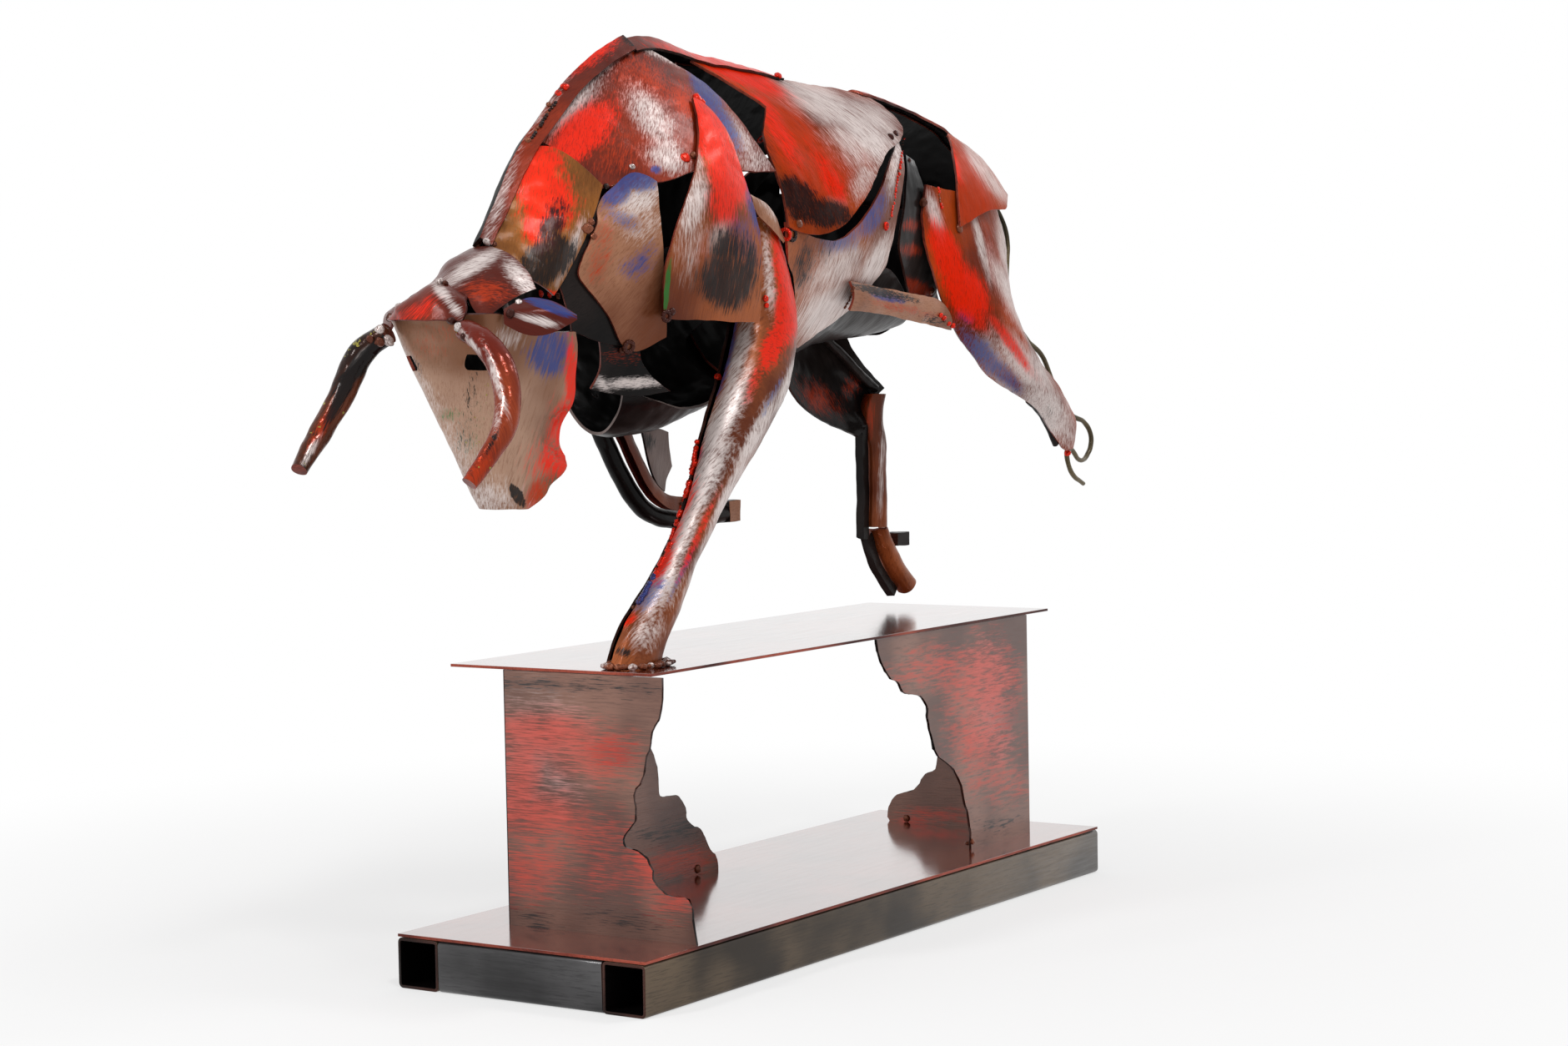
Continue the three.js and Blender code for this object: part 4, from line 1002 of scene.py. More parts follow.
@dataclass
class SheetSmith:
    """Turns packed sheets into smooth, hand-beaten and painted ones.

    Attributes:
        kit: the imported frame.
        wave: amplitude and wavelength in millimetres of the hand-cut unevenness.
        ripple: the same of the finer unevenness.
        rim: width of the rounding along cut edges in millimetres.
        rounds: segments of that rounding.
        layer: height in metres of the layers in which a rolled sheet's middle is found.
        join: degrees between triangles, and off a square, up to which two triangles are joined.
        pair: share of the largest region's area, from which the next one is a sheet's other face.
    """

    kit: Kit
    wave: tuple[float, float] = (0.9, 26.0)
    ripple: tuple[float, float] = (0.35, 7.0)
    rim: float = 0.3
    rounds: int = 2
    layer: float = 0.012
    join: tuple[float, float] = (40.0, 175.0)
    pair: float = 0.4
    quick_levels: int = 2

    # Material numbers of a sheet's faces
    OUTER, INNER, EDGE = range(3)
    # First words of the nodes that are rolled round a middle of their own
    ROLLED = ("head", "foreleg_left")

    def refine(self, node: str, sheet: Sheet) -> Piece:
        """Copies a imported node, subdivides it and rounds its cut edges.

        Args:
            node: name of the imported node.
            sheet: how to finish it.

        Returns:
            The new piece, with faces of the outer, inner and edge coats.
        """
        bm = self.kit.copy(node)
        faces, shape = (math.radians(angle) for angle in self.join)
        bmesh.ops.join_triangles(
            bm, faces=bm.faces, angle_face_threshold=faces, angle_shape_threshold=shape
        )
        bm.normal_update()
        if sheet.inflate:
            for vertex in bm.verts:
                vertex.co += vertex.normal * sheet.inflate * MM
        crease = bm.edges.layers.float.new("crease_edge")
        limit = math.radians(sheet.crease)
        for edge in bm.edges:
            if edge.calc_face_angle(0) > limit:
                edge[crease] = 1.0
                edge.smooth = False
        self.sort_faces(bm, node, sheet.core)
        piece = link_mesh(node + "_sheet", bm, sheet.coat, sheet.inner, sheet.edge)
        subdivide = piece.modifiers.new("subdivide", "SUBSURF")
        subdivide.levels = sheet.levels
        subdivide.render_levels = subdivide.levels
        rounding = piece.modifiers.new("rounding", "BEVEL")
        rounding.width = self.rim * MM
        rounding.segments = self.rounds
        rounding.limit_method = "ANGLE"
        rounding.angle_limit = limit
        rounding.use_clamp_overlap = True
        settle(piece)
        return piece

    def regions(self, bm: BMesh) -> list[Faces]:
        """Groups a mesh's faces.

        Args:
            bm: mesh whose sharp edges bound the groups.

        Returns:
            The groups, largest area first.
        """
        bm.faces.ensure_lookup_table()
        found: list[Faces] = []
        seen: set[int] = set()
        for start in bm.faces:
            if start.index in seen:
                continue
            seen.add(start.index)
            region = [start]
            for face in region:
                for edge in face.edges:
                    for other in edge.link_faces if edge.smooth else ():
                        if other.index not in seen:
                            seen.add(other.index)
                            region.append(other)
            found.append(region)
        return sorted(found, key=self.area, reverse=True)

    def area(self, region: Faces) -> float:
        """Area of a region's faces."""
        return sum(face.calc_area() for face in region)

    def sort_faces(self, bm: BMesh, node: str, height: float) -> None:
        """Gives the faces the numbers of the outer, inner and edge coats.

        Args:
            bm: mesh whose sharp edges bound its faces' regions.
            node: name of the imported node.
            height: of the middle that the outer face looks away from.
        """
        middles = self.middles(bm) if node.startswith(self.ROLLED) else {}
        regions = self.regions(bm)
        least = self.pair * self.area(regions[0])
        main = [region for region in regions[:2] if self.area(region) > least]
        inner = min(main, key=lambda region: self.outwardness(region, height, middles))
        for region in regions:
            number = self.OUTER if region in main else self.EDGE
            if len(main) > 1 and region is inner:
                number = self.INNER
            for face in region:
                face.material_index = number

    def middles(self, bm: BMesh) -> dict[int, Vector]:
        """Middle of a mesh's points in each layer of its height.

        Args:
            bm: the mesh.

        Returns:
            Layer numbers and middles.
        """
        layers: dict[int, list[Vector]] = {}
        for vertex in bm.verts:
            layers.setdefault(round(vertex.co.z / self.layer), []).append(vertex.co)
        return {key: sum(points, Vector((0, 0, 0))) / len(points) for key, points in layers.items()}

    def outwardness(self, region: Faces, height: float, middles: dict[int, Vector]) -> float:
        """How far a region's faces look away from the core of what it is part of.

        Args:
            region: faces.
            height: of the trunk's core.
            middles: of a rolled sheet, layer by layer; empty for the others.

        Returns:
            The larger, the more they look outwards.
        """
        total = 0.0
        for face in region:
            centre = face.calc_center_median()
            core = Vector((centre.x, MEDIAN_Y, height))
            if middles:
                layer = round(centre.z / self.layer)
                core = middles[min(middles, key=lambda key: abs(key - layer))].copy()
                core.z = centre.z
            total += face.normal.dot((centre - core).normalized()) * face.calc_area()
        return total

    def beat(self, piece: Piece, node: str) -> None:
        """Pushes the piece into shape, then moves its points by noise that neighbours share.

        Args:
            piece: the piece.
            node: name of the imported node.
        """
        moved = CAMERA.push(coordinates(piece.data), node)
        for i, point in enumerate(moved):
            place = Vector(point)
            shift = Vector((0, 0, 0))
            for amplitude, length in (self.wave, self.ripple):
                shift += noise.noise_vector(place / (length * MM)) * amplitude * MM
            moved[i] = place + shift
        piece.data.vertices.foreach_set("co", moved.astype(np.float32).ravel())
        piece.data.update()

    def paint(self, piece: Piece, strokes: tuple[Stroke, ...], grain: Vector, mirror: bool = False) -> None:
        """Writes the tints' weights and the brush marks' coordinates onto the piece.

        Args:
            piece: the piece.
            strokes: tints over its coat.
            grain: direction of the brush marks, for the left side.
            mirror: whether it is the right side's copy of a sheet of the left side.
        """
        mesh = piece.data
        points = coordinates(mesh)
        seen = points.copy()
        along = np.array(grain)
        if mirror:
            seen[:, 1] = 2 * MEDIAN_Y - seen[:, 1]
            along = along * np.array([1, -1, 1])
        outer = np.zeros(3)
        for polygon in mesh.polygons:
            if polygon.material_index == self.OUTER:
                outer += np.array(polygon.normal) * polygon.area
        across = np.cross(outer / max(np.linalg.norm(outer), TINY), along)
        across /= max(np.linalg.norm(across), TINY)
        third = np.cross(along, across)
        note(mesh, "grain", np.stack([points @ along, points @ across, points @ third], axis=-1) / MM)
        pixels = CAMERA.project(seen)
        for tint in Tint:
            weights = np.zeros(len(points))
            for stroke in strokes:
                if stroke.tint == tint:
                    weights = np.maximum(weights, stroke.weight(pixels))
            note(mesh, tint.attribute, weights)

    def forge(self, node: str, sheet: Sheet) -> None:
        """Refines, beats and paints one packed sheet and puts it in the node's place.

        Args:
            node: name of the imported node.
            sheet: how to finish it.
        """
        piece = self.refine(node, sheet)
        self.beat(piece, node)
        mirror = node.endswith("_right") and node.removesuffix("_right") in SIDE_SHEETS
        self.paint(piece, sheet.strokes, CAMERA.direction(sheet.grain), mirror)
        piece.data.shade_smooth()
        self.kit.adopt(piece, self.kit.slots[node], node)


@dataclass
class Bull:
    """The bull: trunk, head, legs and tail.

    Attributes:
        smith: works the sheets.
    """

    smith: SheetSmith

    def build(self) -> None:
        """Makes every sheet and bar."""
        for stem, sheet in SIDE_SHEETS.items():
            for side in ("left", "right"):
                self.smith.forge(f"{stem}_{side}", sheet)
        for node, sheet in SHEETS.items():
            self.smith.forge(node, sheet)


@dataclass
class Welds:
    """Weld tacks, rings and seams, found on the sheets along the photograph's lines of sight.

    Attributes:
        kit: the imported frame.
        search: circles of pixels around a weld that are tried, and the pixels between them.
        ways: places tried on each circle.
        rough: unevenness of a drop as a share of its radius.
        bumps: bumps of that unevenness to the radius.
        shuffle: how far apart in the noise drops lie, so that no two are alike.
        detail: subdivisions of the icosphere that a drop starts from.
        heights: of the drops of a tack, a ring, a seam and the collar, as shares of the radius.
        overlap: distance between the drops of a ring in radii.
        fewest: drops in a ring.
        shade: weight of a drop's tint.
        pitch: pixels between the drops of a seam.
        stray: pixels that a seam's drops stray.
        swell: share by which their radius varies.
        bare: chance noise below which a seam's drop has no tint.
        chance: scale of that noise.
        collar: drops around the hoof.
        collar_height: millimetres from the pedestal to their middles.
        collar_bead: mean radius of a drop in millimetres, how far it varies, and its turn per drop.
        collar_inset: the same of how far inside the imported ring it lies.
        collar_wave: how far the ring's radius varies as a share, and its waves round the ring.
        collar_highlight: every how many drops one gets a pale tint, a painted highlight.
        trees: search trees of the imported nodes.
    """

    kit: Kit
    search: tuple[int, float] = (6, 1.5)
    ways: int = 8
    rough: float = 0.22
    bumps: float = 1.3
    shuffle: float = 400.0
    detail: int = 3
    heights: tuple[float, float, float, float] = (0.7, 0.9, 0.8, 0.75)
    overlap: float = 1.1
    fewest: int = 6
    shade: float = 0.75
    pitch: float = 3.5
    stray: float = 3.0
    swell: float = 0.6
    bare: float = -0.15
    chance: float = 0.37
    collar: int = 40
    collar_height: float = 1.1
    collar_bead: tuple[float, float, float] = (1.8, 0.6, 3.7)
    collar_inset: tuple[float, float, float] = (5.2, 1.2, 2.3)
    collar_wave: tuple[float, int] = (0.05, 5)
    collar_highlight: int = 4
    trees: dict[str, BVHTree] = field(default_factory=dict)

    # Tacks: pixel x, pixel y, radius in millimetres, tint or none; a pale tint is a painted highlight on
    # the drop
    TACKS = (
        (677, 104, 2.3, Tint.RED), (669, 112, 1.9, Tint.RED), (658, 125, 1.4, None),
        (633, 168, 1.6, None), (584, 290, 2.2, Tint.PAINTED_HIGHLIGHT), (592, 293, 1.7, None), (704, 274, 2.9, None),
        (709, 266, 1.9, None), (712, 283, 1.7, None), (727, 223, 1.6, Tint.BLACK), (736, 223, 1.3, None),
        (758, 200, 1.6, Tint.PAINTED_HIGHLIGHT), (822, 189, 2.6, Tint.RED), (831, 186, 1.9, None),
        (836, 118, 2.7, Tint.RED), (842, 122, 2.0, Tint.RED), (648, 352, 2.0, Tint.RED),
        (658, 353, 2.2, Tint.RED), (668, 355, 1.9, None), (606, 368, 2.4, Tint.PAINTED_HIGHLIGHT),
        (612, 376, 2.2, None), (622, 362, 1.7, Tint.PAINTED_HIGHLIGHT), (806, 374, 1.9, None), (746, 420, 1.9, None),
        (541, 385, 2.4, None), (549, 392, 2.3, Tint.PAINTED_HIGHLIGHT), (556, 404, 2.0, None),
        (527, 337, 1.9, Tint.PAINTED_HIGHLIGHT), (534, 340, 1.6, None), (460, 396, 3.0, None),
        (466, 408, 2.9, Tint.PAINTED_HIGHLIGHT), (455, 410, 2.4, None), (868, 441, 2.2, Tint.BLUE),
        (861, 452, 2.0, Tint.RED), (918, 358, 1.7, Tint.RED), (919, 366, 1.4, Tint.RED),
        (958, 268, 2.2, None), (1062, 271, 2.6, Tint.RED), (1068, 164, 2.3, None), (1074, 160, 1.9, None),
        (1090, 192, 1.4, None), (1107, 243, 2.6, None), (1150, 274, 2.6, None), (1117, 349, 2.2, None),
        (1280, 543, 2.0, Tint.RED), (1034, 115, 1.7, None), (933, 91, 2.2, Tint.RED),
        (836, 1042, 2.4, None), (1087, 981, 2.2, None), (1160, 1011, 1.7, None), (1166, 1009, 1.7, None),
    )
    # Loops of bead: pixel x, pixel y, radius of the loop, radius of the bead, tint or none
    RINGS = (
        (754, 416, 2.6, 1.2, None), (912, 166, 2.4, 1.0, Tint.RED), (950, 281, 2.9, 1.2, Tint.BLACK),
        (799, 379, 2.2, 1.1, None), (942, 281, 2.7, 1.0, Tint.RED), (712, 474, 2.0, 0.9, Tint.BLACK),
    )
    # Seams: pixels along the seam, radius of the bead, tint or none
    SEAMS = (
        (((1084, 166), (1078, 205), (1072, 240), (1066, 266)), 0.9, Tint.RED),
        (((1024, 345), (1018, 360), (1011, 372)), 1.2, None),
        (((1125, 226), (1128, 238), (1129, 252)), 1.0, Tint.RED),
        (((1128, 378), (1137, 388), (1146, 393)), 1.4, Tint.RED),
        (((836, 530), (831, 556), (822, 590), (812, 625), (800, 660), (784, 690)), 1.4, Tint.RED),
        (((784, 690), (770, 715), (756, 735)), 1.4, Tint.BLUE),
        (((638, 165), (655, 138), (668, 120)), 0.9, Tint.BLACK),
    )

    def prepare(self) -> None:
        """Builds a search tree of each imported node."""
        for name, node in self.kit.frame["nodes"].items():
            points = [vertex.co for vertex in node.data.vertices]
            faces = [tuple(polygon.vertices) for polygon in node.data.polygons]
            self.trees[name] = BVHTree.FromPolygons(points, faces)

    def find(self, x: float, y: float) -> tuple[Vector, Vector, str] | None:
        """The first surface that a pixel of the photograph shows, or the nearest one beside it.

        Args:
            x: pixel from the left.
            y: pixel from the top.

        Returns:
            Point, normal and the node's name.
        """
        origin = CAMERA.place()
        circles, spacing = self.search
        for circle in range(circles):
            hits = []
            for turn in np.arange(self.ways if circle else 1) * math.tau / self.ways:
                radius = spacing * circle
                way = CAMERA.ray(x + radius * math.cos(turn), y + radius * math.sin(turn))
                for name, tree in self.trees.items():
                    point, normal, _, distance = tree.ray_cast(origin, way)
                    if point is not None:
                        hits.append((distance, point, normal, name))
            if hits:
                return min(hits, key=lambda hit: hit[0])[1:]
        return None

    def place(self, x: float, y: float, mirror: bool) -> tuple[Vector, Vector] | None:
        """Point and normal of a weld, on the left side or mirrored onto the right.

        Args:
            x: pixel from the left.
            y: pixel from the top.
            mirror: whether the weld is on the right side.

        Returns:
            Point and normal, or none where there is no such sheet.
        """
        hit = self.find(x, y)
        if hit is None:
            return None
        point, normal, name = hit
        if not mirror:
            return point, normal
        other = name.replace("_left", "_right")
        if other == name or other not in self.trees:
            return None
        facing = Vector((point.x, 2 * MEDIAN_Y - point.y, point.z))
        near, _, _, _ = self.trees[other].find_nearest(facing)
        return near, Vector((normal.x, -normal.y, normal.z))

    def blob(self, bm: BMesh, point: Vector, normal: Vector, radius: float, flat: float) -> Points:
        """Adds one uneven drop of weld metal.

        Args:
            bm: mesh to add to.
            point: place of its middle.
            normal: direction out of the sheet.
            radius: in millimetres.
            flat: height as a share of the radius.

        Returns:
            Its points.
        """
        made = bmesh.ops.create_icosphere(bm, subdivisions=self.detail, radius=radius * MM)["verts"]
        turned = normal.to_track_quat("Z", "Y").to_matrix()
        for vertex in made:
            local = Vector((vertex.co.x, vertex.co.y, vertex.co.z * flat))
            where = (point + local) / (radius * MM) * self.bumps + point * self.shuffle
            rough = noise.noise_vector(where) * radius * MM * self.rough
            vertex.co = point + turned @ local + rough
        return made

    def ring(self, bm: BMesh, point: Vector, normal: Vector, radius: float, bead: float) -> Points:
        """Adds a ring of overlapping drops.

        Args:
            bm: mesh to add to.
            point: place of its middle.
            normal: direction out of the sheet.
            radius: of the ring in millimetres.
            bead: radius of its drops in millimetres.

        Returns:
            Its points.
        """
        made = []
        turned = normal.to_track_quat("Z", "Y").to_matrix()
        count = max(int(math.tau * radius / (bead * self.overlap)), self.fewest)
        for i in range(count):
            angle = i / count * math.tau
            local = Vector((math.cos(angle) * radius, math.sin(angle) * radius, 0)) * MM
            made += self.blob(bm, point + turned @ local, normal, bead, self.heights[1])
        return made

    def along(self, pixels: tuple[tuple[float, float], ...]) -> list[tuple[float, float]]:
        """Positions of a seam's drops.

        Args:
            pixels: corners of the seam.

        Returns:
            Pixels, a pitch apart.
        """
        found = []
        for (x0, y0), (x1, y1) in zip(pixels, pixels[1:]):
            count = max(int(math.dist((x0, y0), (x1, y1)) / self.pitch), 1)
            for i in range(count):
                share = i / count
                found.append((x0 + (x1 - x0) * share, y0 + (y1 - y0) * share))
        return found

    def dress(self, name: str, bm: BMesh, tints: list[tuple[int, Tint | None]], *nodes: str) -> None:
        """Makes a piece of drops and writes each drop's tint onto it.

        Args:
            name: of the piece.
            bm: the drops.
            tints: point count and tint of each drop, in order.
            nodes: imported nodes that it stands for.
        """
        piece = link_mesh(name, bm, Finish.WELD)
        mesh = piece.data
        weights = {tint: np.zeros(len(mesh.vertices), np.float32) for tint in Tint}
        start = 0
        for count, tint in tints:
            if tint is not None:
                weights[tint][start : start + count] = self.shade
            start += count
        for tint, values in weights.items():
            note(mesh, tint.attribute, values)
        note(mesh, "grain", coordinates(mesh) / MM)
        mesh.shade_smooth()
        self.kit.adopt(piece, self.kit.slots["hoof_weld"], *nodes)

    def side(self, name: str, mirror: bool) -> None:
        """Makes the welds of one side.

        Args:
            name: of the side.
            mirror: whether they are mirrored from the left side.
        """
        bm = bmesh.new()
        tints: list[tuple[int, Tint | None]] = []
        for x, y, radius, tint in self.TACKS:
            place = self.place(x, y, mirror)
            if place:
                tints.append((len(self.blob(bm, *place, radius, self.heights[0])), tint))
        for x, y, radius, bead, tint in self.RINGS:
            place = self.place(x, y, mirror)
            if place:
                tints.append((len(self.ring(bm, *place, radius, bead)), tint))
        for pixels, bead, tint in self.SEAMS:
            for x, y in self.along(pixels):
                chance = noise.noise(Vector((x, y, 0)) * self.chance)
                place = self.place(x + self.stray * chance, y, mirror)
                if place:
                    drop = self.blob(bm, *place, bead * (1 + self.swell * chance), self.heights[2])
                    tints.append((len(drop), tint if chance > self.bare else None))
        self.dress("weld_tacks_" + name, bm, tints)

    def hoof(self) -> None:
        """Makes the uneven collar of weld between the left fore hoof and the pedestal."""
        low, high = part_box("hoof_weld")
        middle = (low + high) / 2
        reach = (high - low) / 2
        depth, waves = self.collar_wave
        swings = (self.collar_bead, self.collar_inset)
        bm = bmesh.new()
        tints: list[tuple[int, Tint | None]] = []
        for i in range(self.collar):
            angle = i / self.collar * math.tau
            bead, inset = (mean + vary * math.sin(turn * i) for mean, vary, turn in swings)
            wobble = 1 + depth * math.sin(waves * angle)
            x = middle.x + (reach.x - inset * MM) * wobble * math.cos(angle)
            y = middle.y + (reach.y - inset * MM) * wobble * math.sin(angle)
            place = Vector((x, y, low.z + self.collar_height * MM))
            drop = self.blob(bm, place, AXES[2], bead, self.heights[3])
            # every few drops get the pale tint, a painted highlight
            tints.append((len(drop), Tint.PAINTED_HIGHLIGHT if i % self.collar_highlight == 0 else None))
        self.dress("hoof_weld_collar", bm, tints, "hoof_weld")

    def build(self) -> None:
        """Makes the welds of the left side, mirrors those of the trunk, and makes the collar."""
        self.prepare()
        self.side("left", False)
        self.side("right", True)
        self.hoof()


@dataclass
class Base:
    """The square-tube base, its deck, the torn pillars and the pedestal plate.

    Attributes:
        kit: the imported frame.
        smith: paints the pieces.
        grid: spacing in millimetres of the points that hold the paint on flat plates.
        torn: depth and wavelength in millimetres of the unevenness along the torn edges.
        cuts: points added to each edge of a torn outline.
        smoothing: how many times and how strongly the outline is smoothed.
        level: millimetres within which two points are on one level.
        edges: shortest and longest edge in millimetres of a plate's outline.
        margin: millimetres from a plate's square sides that stay straight.
        sink: millimetres that a pillar's foot is drawn down to meet the deck.
        wall: millimetres from the outside of a tube, within which its faces are outer ones.
        burr: depth and wavelength in millimetres of the saw cuts' unevenness.
        tube_rim: rounding of a tube's edges in millimetres.
        board_rim: rounding of a board's edges in millimetres.
        sharp: degrees from which an edge of a tube is rounded, and from which it shades sharp.
        plain: degrees under which a board's triangles are one face.
    """

    kit: Kit
    smith: SheetSmith
    grid: float = 6.0
    torn: tuple[float, float] = (0.8, 4.5)
    cuts: int = 3
    smoothing: tuple[int, float] = (3, 0.5)
    level: float = 0.05
    edges: tuple[float, float] = (0.5, 30.0)
    margin: float = 2.0
    sink: float = 0.3
    wall: float = 1.2
    burr: tuple[float, float] = (0.35, 6.0)
    tube_rim: float = 0.3
    board_rim: float = 0.25
    sharp: tuple[float, float] = (60.0, 35.0)
    plain: float = 2.0

    # Pillar plates and the strokes on them; the pale ones are painted highlights
    PLATES = {
        "front_pillar_face": (
            coral(650, 880, 60, 24, -4, 0.75), coral(700, 905, 60, 26, -4, 0.6),
            coral(625, 930, 24, 50, 0, 0.7), coral(640, 975, 50, 26, -5, 0.65),
            coral(700, 1000, 50, 30, -6, 0.45), coral(640, 1040, 44, 30, -6, 0.5),
            coral(775, 1030, 14, 36, 30, 0.75), coral(800, 1080, 30, 16, -8, 0.55),
            coral(720, 1050, 50, 24, -8, 0.35), black(690, 822, 100, 10, -2, 0.5),
            black(735, 905, 30, 16, -4, 0.5), black(740, 1100, 60, 12, -6, 0.5),
            black(640, 1105, 40, 10, -6, 0.45), black(604, 960, 3, 130, 0, 0.5),
            highlight(640, 900, 50, 60, 0, 0.3),
        ),
        "front_pillar_side": (
            black(800, 996, 46, 14, 6, 0.5), orange(815, 1035, 38, 16, 8, 0.8),
            black(826, 1040, 14, 10, 0, 0.4),
        ),
        "rear_pillar_side": (
            coral(1180, 820, 32, 44, 8, 0.8), coral(1130, 800, 44, 20, 10, 0.6),
            coral(1175, 880, 34, 40, 8, 0.65), coral(1195, 935, 30, 24, 8, 0.45),
            coral(1110, 980, 34, 8, 6, 0.8), black(1205, 860, 20, 24, 8, 0.4),
            black(1195, 985, 34, 10, 8, 0.4), highlight(1185, 840, 20, 50, 8, 0.35),
        ),
        "rear_pillar_end": (coral(1110, 980, 34, 8, 6, 0.8),),
    }
    TUBES = ("base_rail_left", "base_rail_right", "base_cross_front", "base_cross_rear")
    BOARDS = ("base_deck", "pedestal_plate")
    SNAP = 0.001 * MM  # distance within which a cut goes through a point that is there
    # Plates whose square side, where they meet the other plate of their pillar, is the high one
    SQUARE_HIGH = ("front_pillar_face", "rear_pillar_side")

    def slice(self, bm: BMesh, axis: int) -> None:
        """Cuts a mesh at every grid line of one axis.

        Args:
            bm: the mesh.
            axis: number of the axis.
        """
        values = [vertex.co[axis] for vertex in bm.verts]
        low, high = min(values), max(values)
        count = int((high - low) / (self.grid * MM))
        for i in range(1, count):
            point = AXES[axis] * (low + (high - low) * i / count)
            parts = bm.verts[:] + bm.edges[:] + bm.faces[:]
            bmesh.ops.bisect_plane(bm, geom=parts, dist=self.SNAP, plane_co=point, plane_no=AXES[axis])

    def round_edges(self, bm: BMesh, edges: list[bmesh.types.BMEdge], width: float) -> None:
        """Rounds edges.

        Args:
            bm: the mesh.
            edges: its edges that are rounded.
            width: of the rounding in millimetres.
        """
        bmesh.ops.bevel(
            bm, geom=edges, offset=width * MM, segments=2, profile=0.5, affect="EDGES", material=-1
        )

    def tear(self, bm: BMesh, node: str, flat: int) -> None:
        """Roughens a plate's torn edges, pushes them into shape and draws its foot down.

        Args:
            bm: the plate.
            node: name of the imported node.
            flat: axis across the plate.
        """
        low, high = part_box(node)
        wide = 1 - flat
        level = self.level * MM
        shortest, longest = (length * MM for length in self.edges)
        outline = [
            edge
            for edge in bm.edges
            if abs(edge.verts[0].co[flat] - edge.verts[1].co[flat]) < level
            and shortest < edge.calc_length() < longest
        ]
        bmesh.ops.subdivide_edges(bm, edges=outline, cuts=self.cuts, use_grid_fill=True)
        square = high[wide] if node in self.SQUARE_HIGH else low[wide]
        margin = self.margin * MM
        rim = [
            vertex
            for vertex in bm.verts
            if low.z + margin < vertex.co.z < high.z - margin and abs(vertex.co[wide] - square) > margin
        ]
        free = {"use_axis_x": flat != 0, "use_axis_y": flat != 1, "use_axis_z": True}
        times, strength = self.smoothing
        for _ in range(times):
            bmesh.ops.smooth_vert(bm, verts=rim, factor=strength, **free)
        depth, length = self.torn
        for vertex in rim:
            place = Vector((vertex.co[wide], vertex.co.z, 0.0)) / (length * MM)
            shift = noise.noise_vector(place) * depth * MM
            vertex.co[wide] += shift[0]
            vertex.co.z += shift[1]
        places = np.array([vertex.co for vertex in bm.verts])
        for vertex, place in zip(bm.verts, CAMERA.push(places, node)):
            vertex.co[wide] = place[wide]
            vertex.co.z = max(low.z, min(high.z, place[2]))
        foot = [vertex for vertex in bm.verts if vertex.co.z < low.z + level]
        bmesh.ops.translate(bm, verts=foot, vec=AXES[2] * -self.sink * MM)

    def pillar(self, node: str) -> None:
        """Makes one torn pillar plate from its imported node.

        Args:
            node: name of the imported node.
        """
        low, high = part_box(node)
        flat = 0 if high.x - low.x < high.y - low.y else 1
        bm = self.kit.copy(node)
        for way in (1, -1):
            side = [face for face in bm.faces if way * face.normal[flat] > FLAT]
            bmesh.ops.dissolve_faces(bm, faces=side)
        self.tear(bm, node, flat)
        self.slice(bm, 1 - flat)
        self.slice(bm, 2)
        for face in bm.faces:
            face.material_index = 0 if abs(face.normal[flat]) > FLAT else 1
        piece = link_mesh(node + "_plate", bm, Finish.PILLAR, Finish.DARK_EDGE)
        self.smith.paint(piece, self.PLATES[node], AXES[1 - flat])
        self.kit.adopt(piece, self.kit.slots[node], node)

    def tube(self, node: str) -> None:
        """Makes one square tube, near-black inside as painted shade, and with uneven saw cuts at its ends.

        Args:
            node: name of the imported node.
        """
        low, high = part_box(node)
        middle = (low + high) / 2
        run = 0 if high.x - low.x > high.y - low.y else 1
        side = 1 - run
        bm = self.kit.copy(node)
        inside = (high[side] - low[side]) / 2 - self.wall * MM
        for face in bm.faces:
            centre = face.calc_center_median()
            reach = max(abs(centre[side] - middle[side]), abs(centre.z - middle.z))
            end = abs(face.normal[run]) > FLAT
            face.material_index = 2 if end else (1 if reach < inside else 0)
        depth, length = self.burr
        for vertex in bm.verts:
            vertex.co[run] += noise.noise(vertex.co / (length * MM)) * depth * MM
        rounded, shaded = (math.radians(angle) for angle in self.sharp)
        edges = [edge for edge in bm.edges if edge.calc_face_angle(0) > rounded]
        self.round_edges(bm, edges, self.tube_rim)
        coat = Finish.STEEL if run == 1 else Finish.TUBE
        piece = link_mesh(node + "_tube", bm, coat, Finish.INNER, Finish.DARK_EDGE)
        self.smith.paint(piece, (), AXES[run])
        piece.data.shade_smooth()
        piece.data.set_sharp_from_angle(angle=shaded)
        self.kit.adopt(piece, self.kit.slots[node], node)

    def board(self, node: str) -> None:
        """Makes a thin flat plate with rounded edges, such as the deck.

        Args:
            node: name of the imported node.
        """
        bm = self.kit.copy(node)
        plain = math.radians(self.plain)
        bmesh.ops.dissolve_limit(bm, angle_limit=plain, verts=bm.verts, edges=bm.edges)
        self.round_edges(bm, bm.edges[:], self.board_rim)
        for face in bm.faces:
            face.material_index = 0 if abs(face.normal.z) > LEANING else 1
        self.slice(bm, 0)
        piece = link_mesh(node + "_board", bm, Finish.DECK, Finish.EDGE)
        self.smith.paint(piece, (), AXES[0])
        self.kit.adopt(piece, self.kit.slots[node], node)

    def build(self) -> None:
        """Makes the base and the pedestal."""
        for nodes, make in ((self.TUBES, self.tube), (self.BOARDS, self.board), (self.PLATES, self.pillar)):
            for node in nodes:
                make(node)


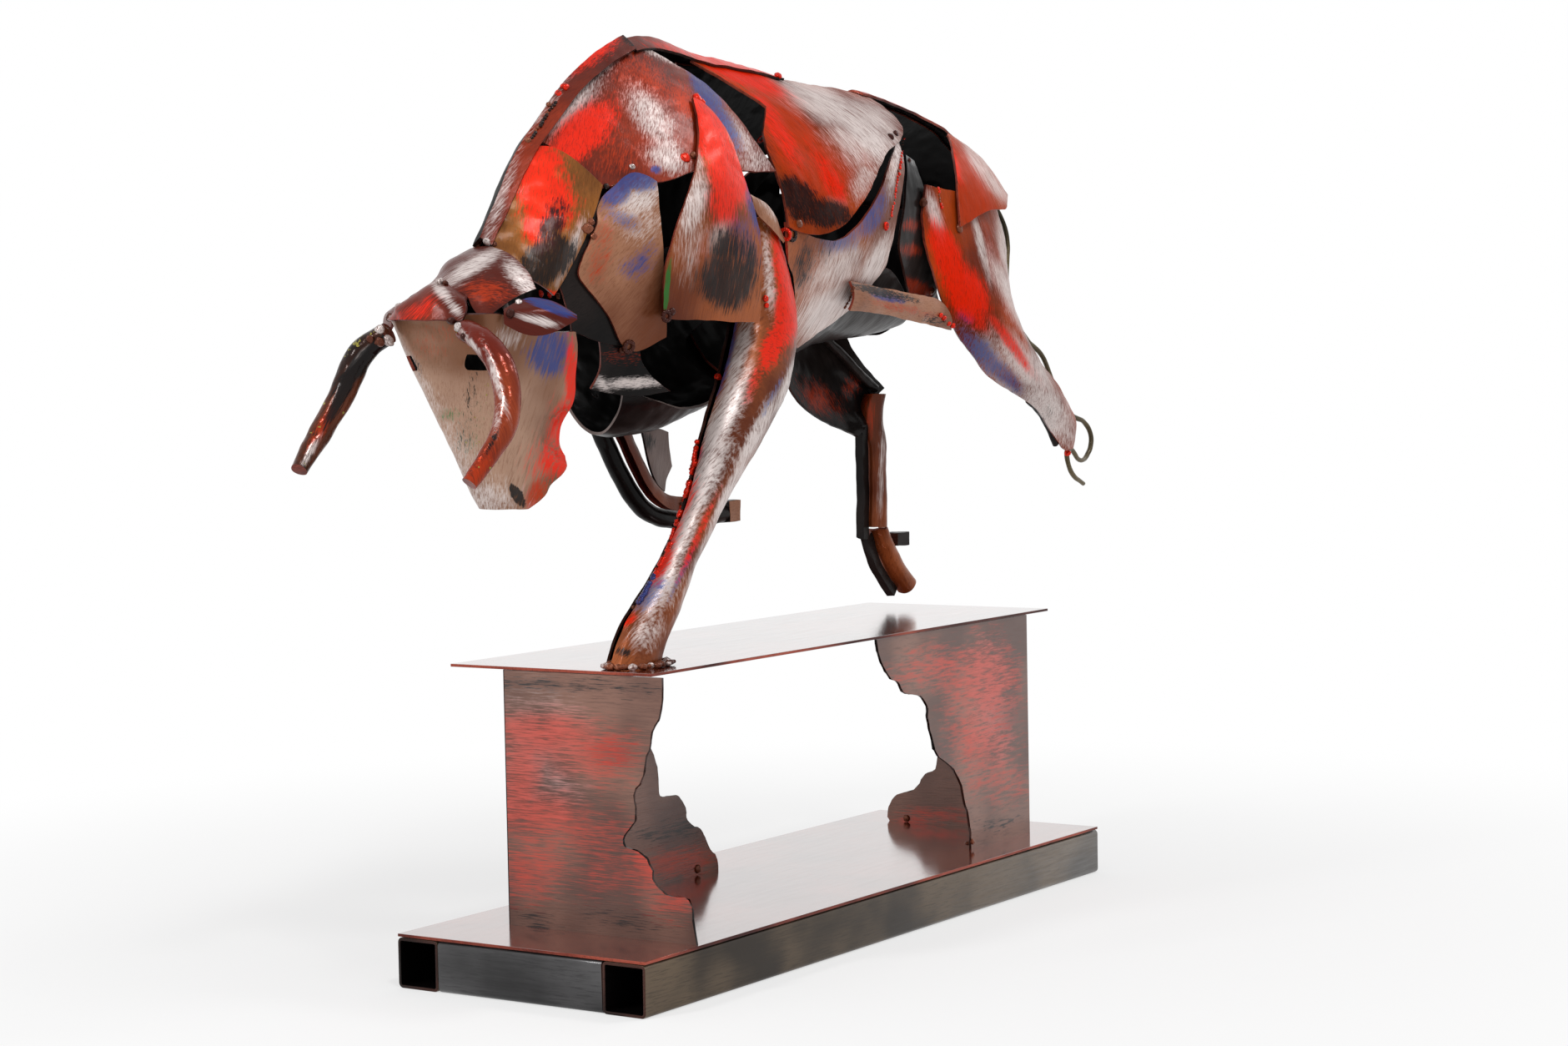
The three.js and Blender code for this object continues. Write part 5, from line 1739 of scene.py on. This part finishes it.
@dataclass
class Studio:
    """Pale floor, white surroundings and soft lamps.

    Attributes:
        floor_radius: in metres.
        floor_sides: of the floor's round edge.
        reach: radius in metres of the part of the floor that takes the shadow.
        fade: share of that radius from which the shadow fades.
        glow: share of plain white in the floor near the object.
        matt: brightness of the floor.
        light: strength of the surroundings as light, where 1 is white.
        aim: height in metres that the lamps look at.
    """

    floor_radius: float = 9.0
    floor_sides: int = 96
    reach: float = 0.8
    fade: float = 0.3
    glow: float = 0.55
    matt: float = 0.95
    light: float = 0.56
    aim: float = 0.26

    # Lamps: metres to the photograph's right, up and towards the camera; size in metres; watts
    LAMPS = {
        "right_softbox": ((0.8, 1.05, -0.12), (0.25, 0.25), 3.2),
        "front_softbox": ((0.2, 1.0, 0.95), (0.15, 0.15), 3.5),
        "left_softbox": ((-0.9, 0.65, 0.8), (0.12, 0.3), 4),
        "rear_softbox": ((0.85, 0.65, -1.0), (0.25, 0.25), 1),
    }

    def eye(self, bench: Bench) -> Socket:
        """1 for rays from the camera, reflections and rays through glass.

        Args:
            bench: builds the node tree.

        Returns:
            1 or 0.
        """
        path = bench.node("LightPath").outputs
        total = bench.math("ADD", path["Is Camera Ray"], path["Is Glossy Ray"])
        return bench.math("MINIMUM", bench.math("ADD", total, path["Is Transmission Ray"]), 1.0)

    def floor(self) -> None:
        """Makes the floor: pale near the object, and white to the eye further out."""
        bm = bmesh.new()
        bmesh.ops.create_circle(
            bm, cap_ends=True, segments=self.floor_sides, radius=self.floor_radius
        )
        piece = link_mesh("studio_floor", bm)
        bench = Bench(bpy.data.materials.new("pale_floor"))
        length = bench.node("VectorMath", {0: bench.place()}, operation="LENGTH").outputs["Value"]
        out = bench.step(length, self.reach * self.fade, self.reach, (self.glow, 1))
        white = bench.node("Emission", {"Strength": 1.0}).outputs[0]
        matt = bench.node("BsdfDiffuse", {"Color": (self.matt, self.matt, self.matt, 1)}).outputs[0]
        share = bench.math("MULTIPLY", out, self.eye(bench))
        bench.finish(bench.node("MixShader", {0: share, 1: matt, 2: white}))
        piece.data.materials.append(bench.owner)
        piece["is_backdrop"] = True

    def world(self) -> None:
        """White surroundings to the eye and in reflections, softer as light."""
        world = bpy.data.worlds.new("studio")
        bpy.context.scene.world = world
        bench = Bench(world)
        strength = bench.step(self.eye(bench), 0, 1, (self.light, 1))
        background = bench.node("Background", {"Color": (1, 1, 1, 1), "Strength": strength})
        bench.finish(background, "OutputWorld")

    def lamp(self, name: str, way: tuple[float, ...], size: tuple[float, float], power: float) -> None:
        """Adds a soft lamp that looks at the bull.

        Args:
            name: of the lamp.
            way: metres to the photograph's right, up and towards the camera, from the bull.
            size: of the lamp in metres.
            power: in watts.
        """
        right, _, forward = CAMERA.axes()
        level = Vector((right.x, right.y, 0)).normalized()
        towards = Vector((-forward.x, -forward.y, 0)).normalized()
        offset = level * way[0] + AXES[2] * way[1] + towards * way[2]
        data = bpy.data.lights.new(name, "AREA")
        data.shape = "RECTANGLE"
        data.size, data.size_y = size
        data.energy = power
        lamp = bpy.data.objects.new(name, data)
        lamp.visible_camera = False
        place = Matrix.Translation(Vector((0, MEDIAN_Y, self.aim)) + offset)
        lamp.matrix_world = place @ offset.to_track_quat("Z", "Y").to_matrix().to_4x4()
        bpy.context.scene.collection.objects.link(lamp)

    def build(self) -> None:
        """Makes the floor, the surroundings and the lamps."""
        self.floor()
        self.world()
        for name, (way, size, power) in self.LAMPS.items():
            self.lamp(name, way, size, power)
        bpy.context.scene.view_settings.view_transform = "Standard"


def write_sizes() -> None:
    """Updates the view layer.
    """
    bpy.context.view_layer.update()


def main() -> None:
    """Builds the scene."""
    noise.seed_set(NOISE_SEED)
    logging.basicConfig(level=logging.INFO, format="%(message)s")
    kit = Kit()
    CAMERA.make()
    Studio().build()
    smith = SheetSmith(kit)
    Base(kit, smith).build()
    Bull(smith).build()
    Welds(kit).build()
    write_sizes()


if __name__ == "__main__":
    main()
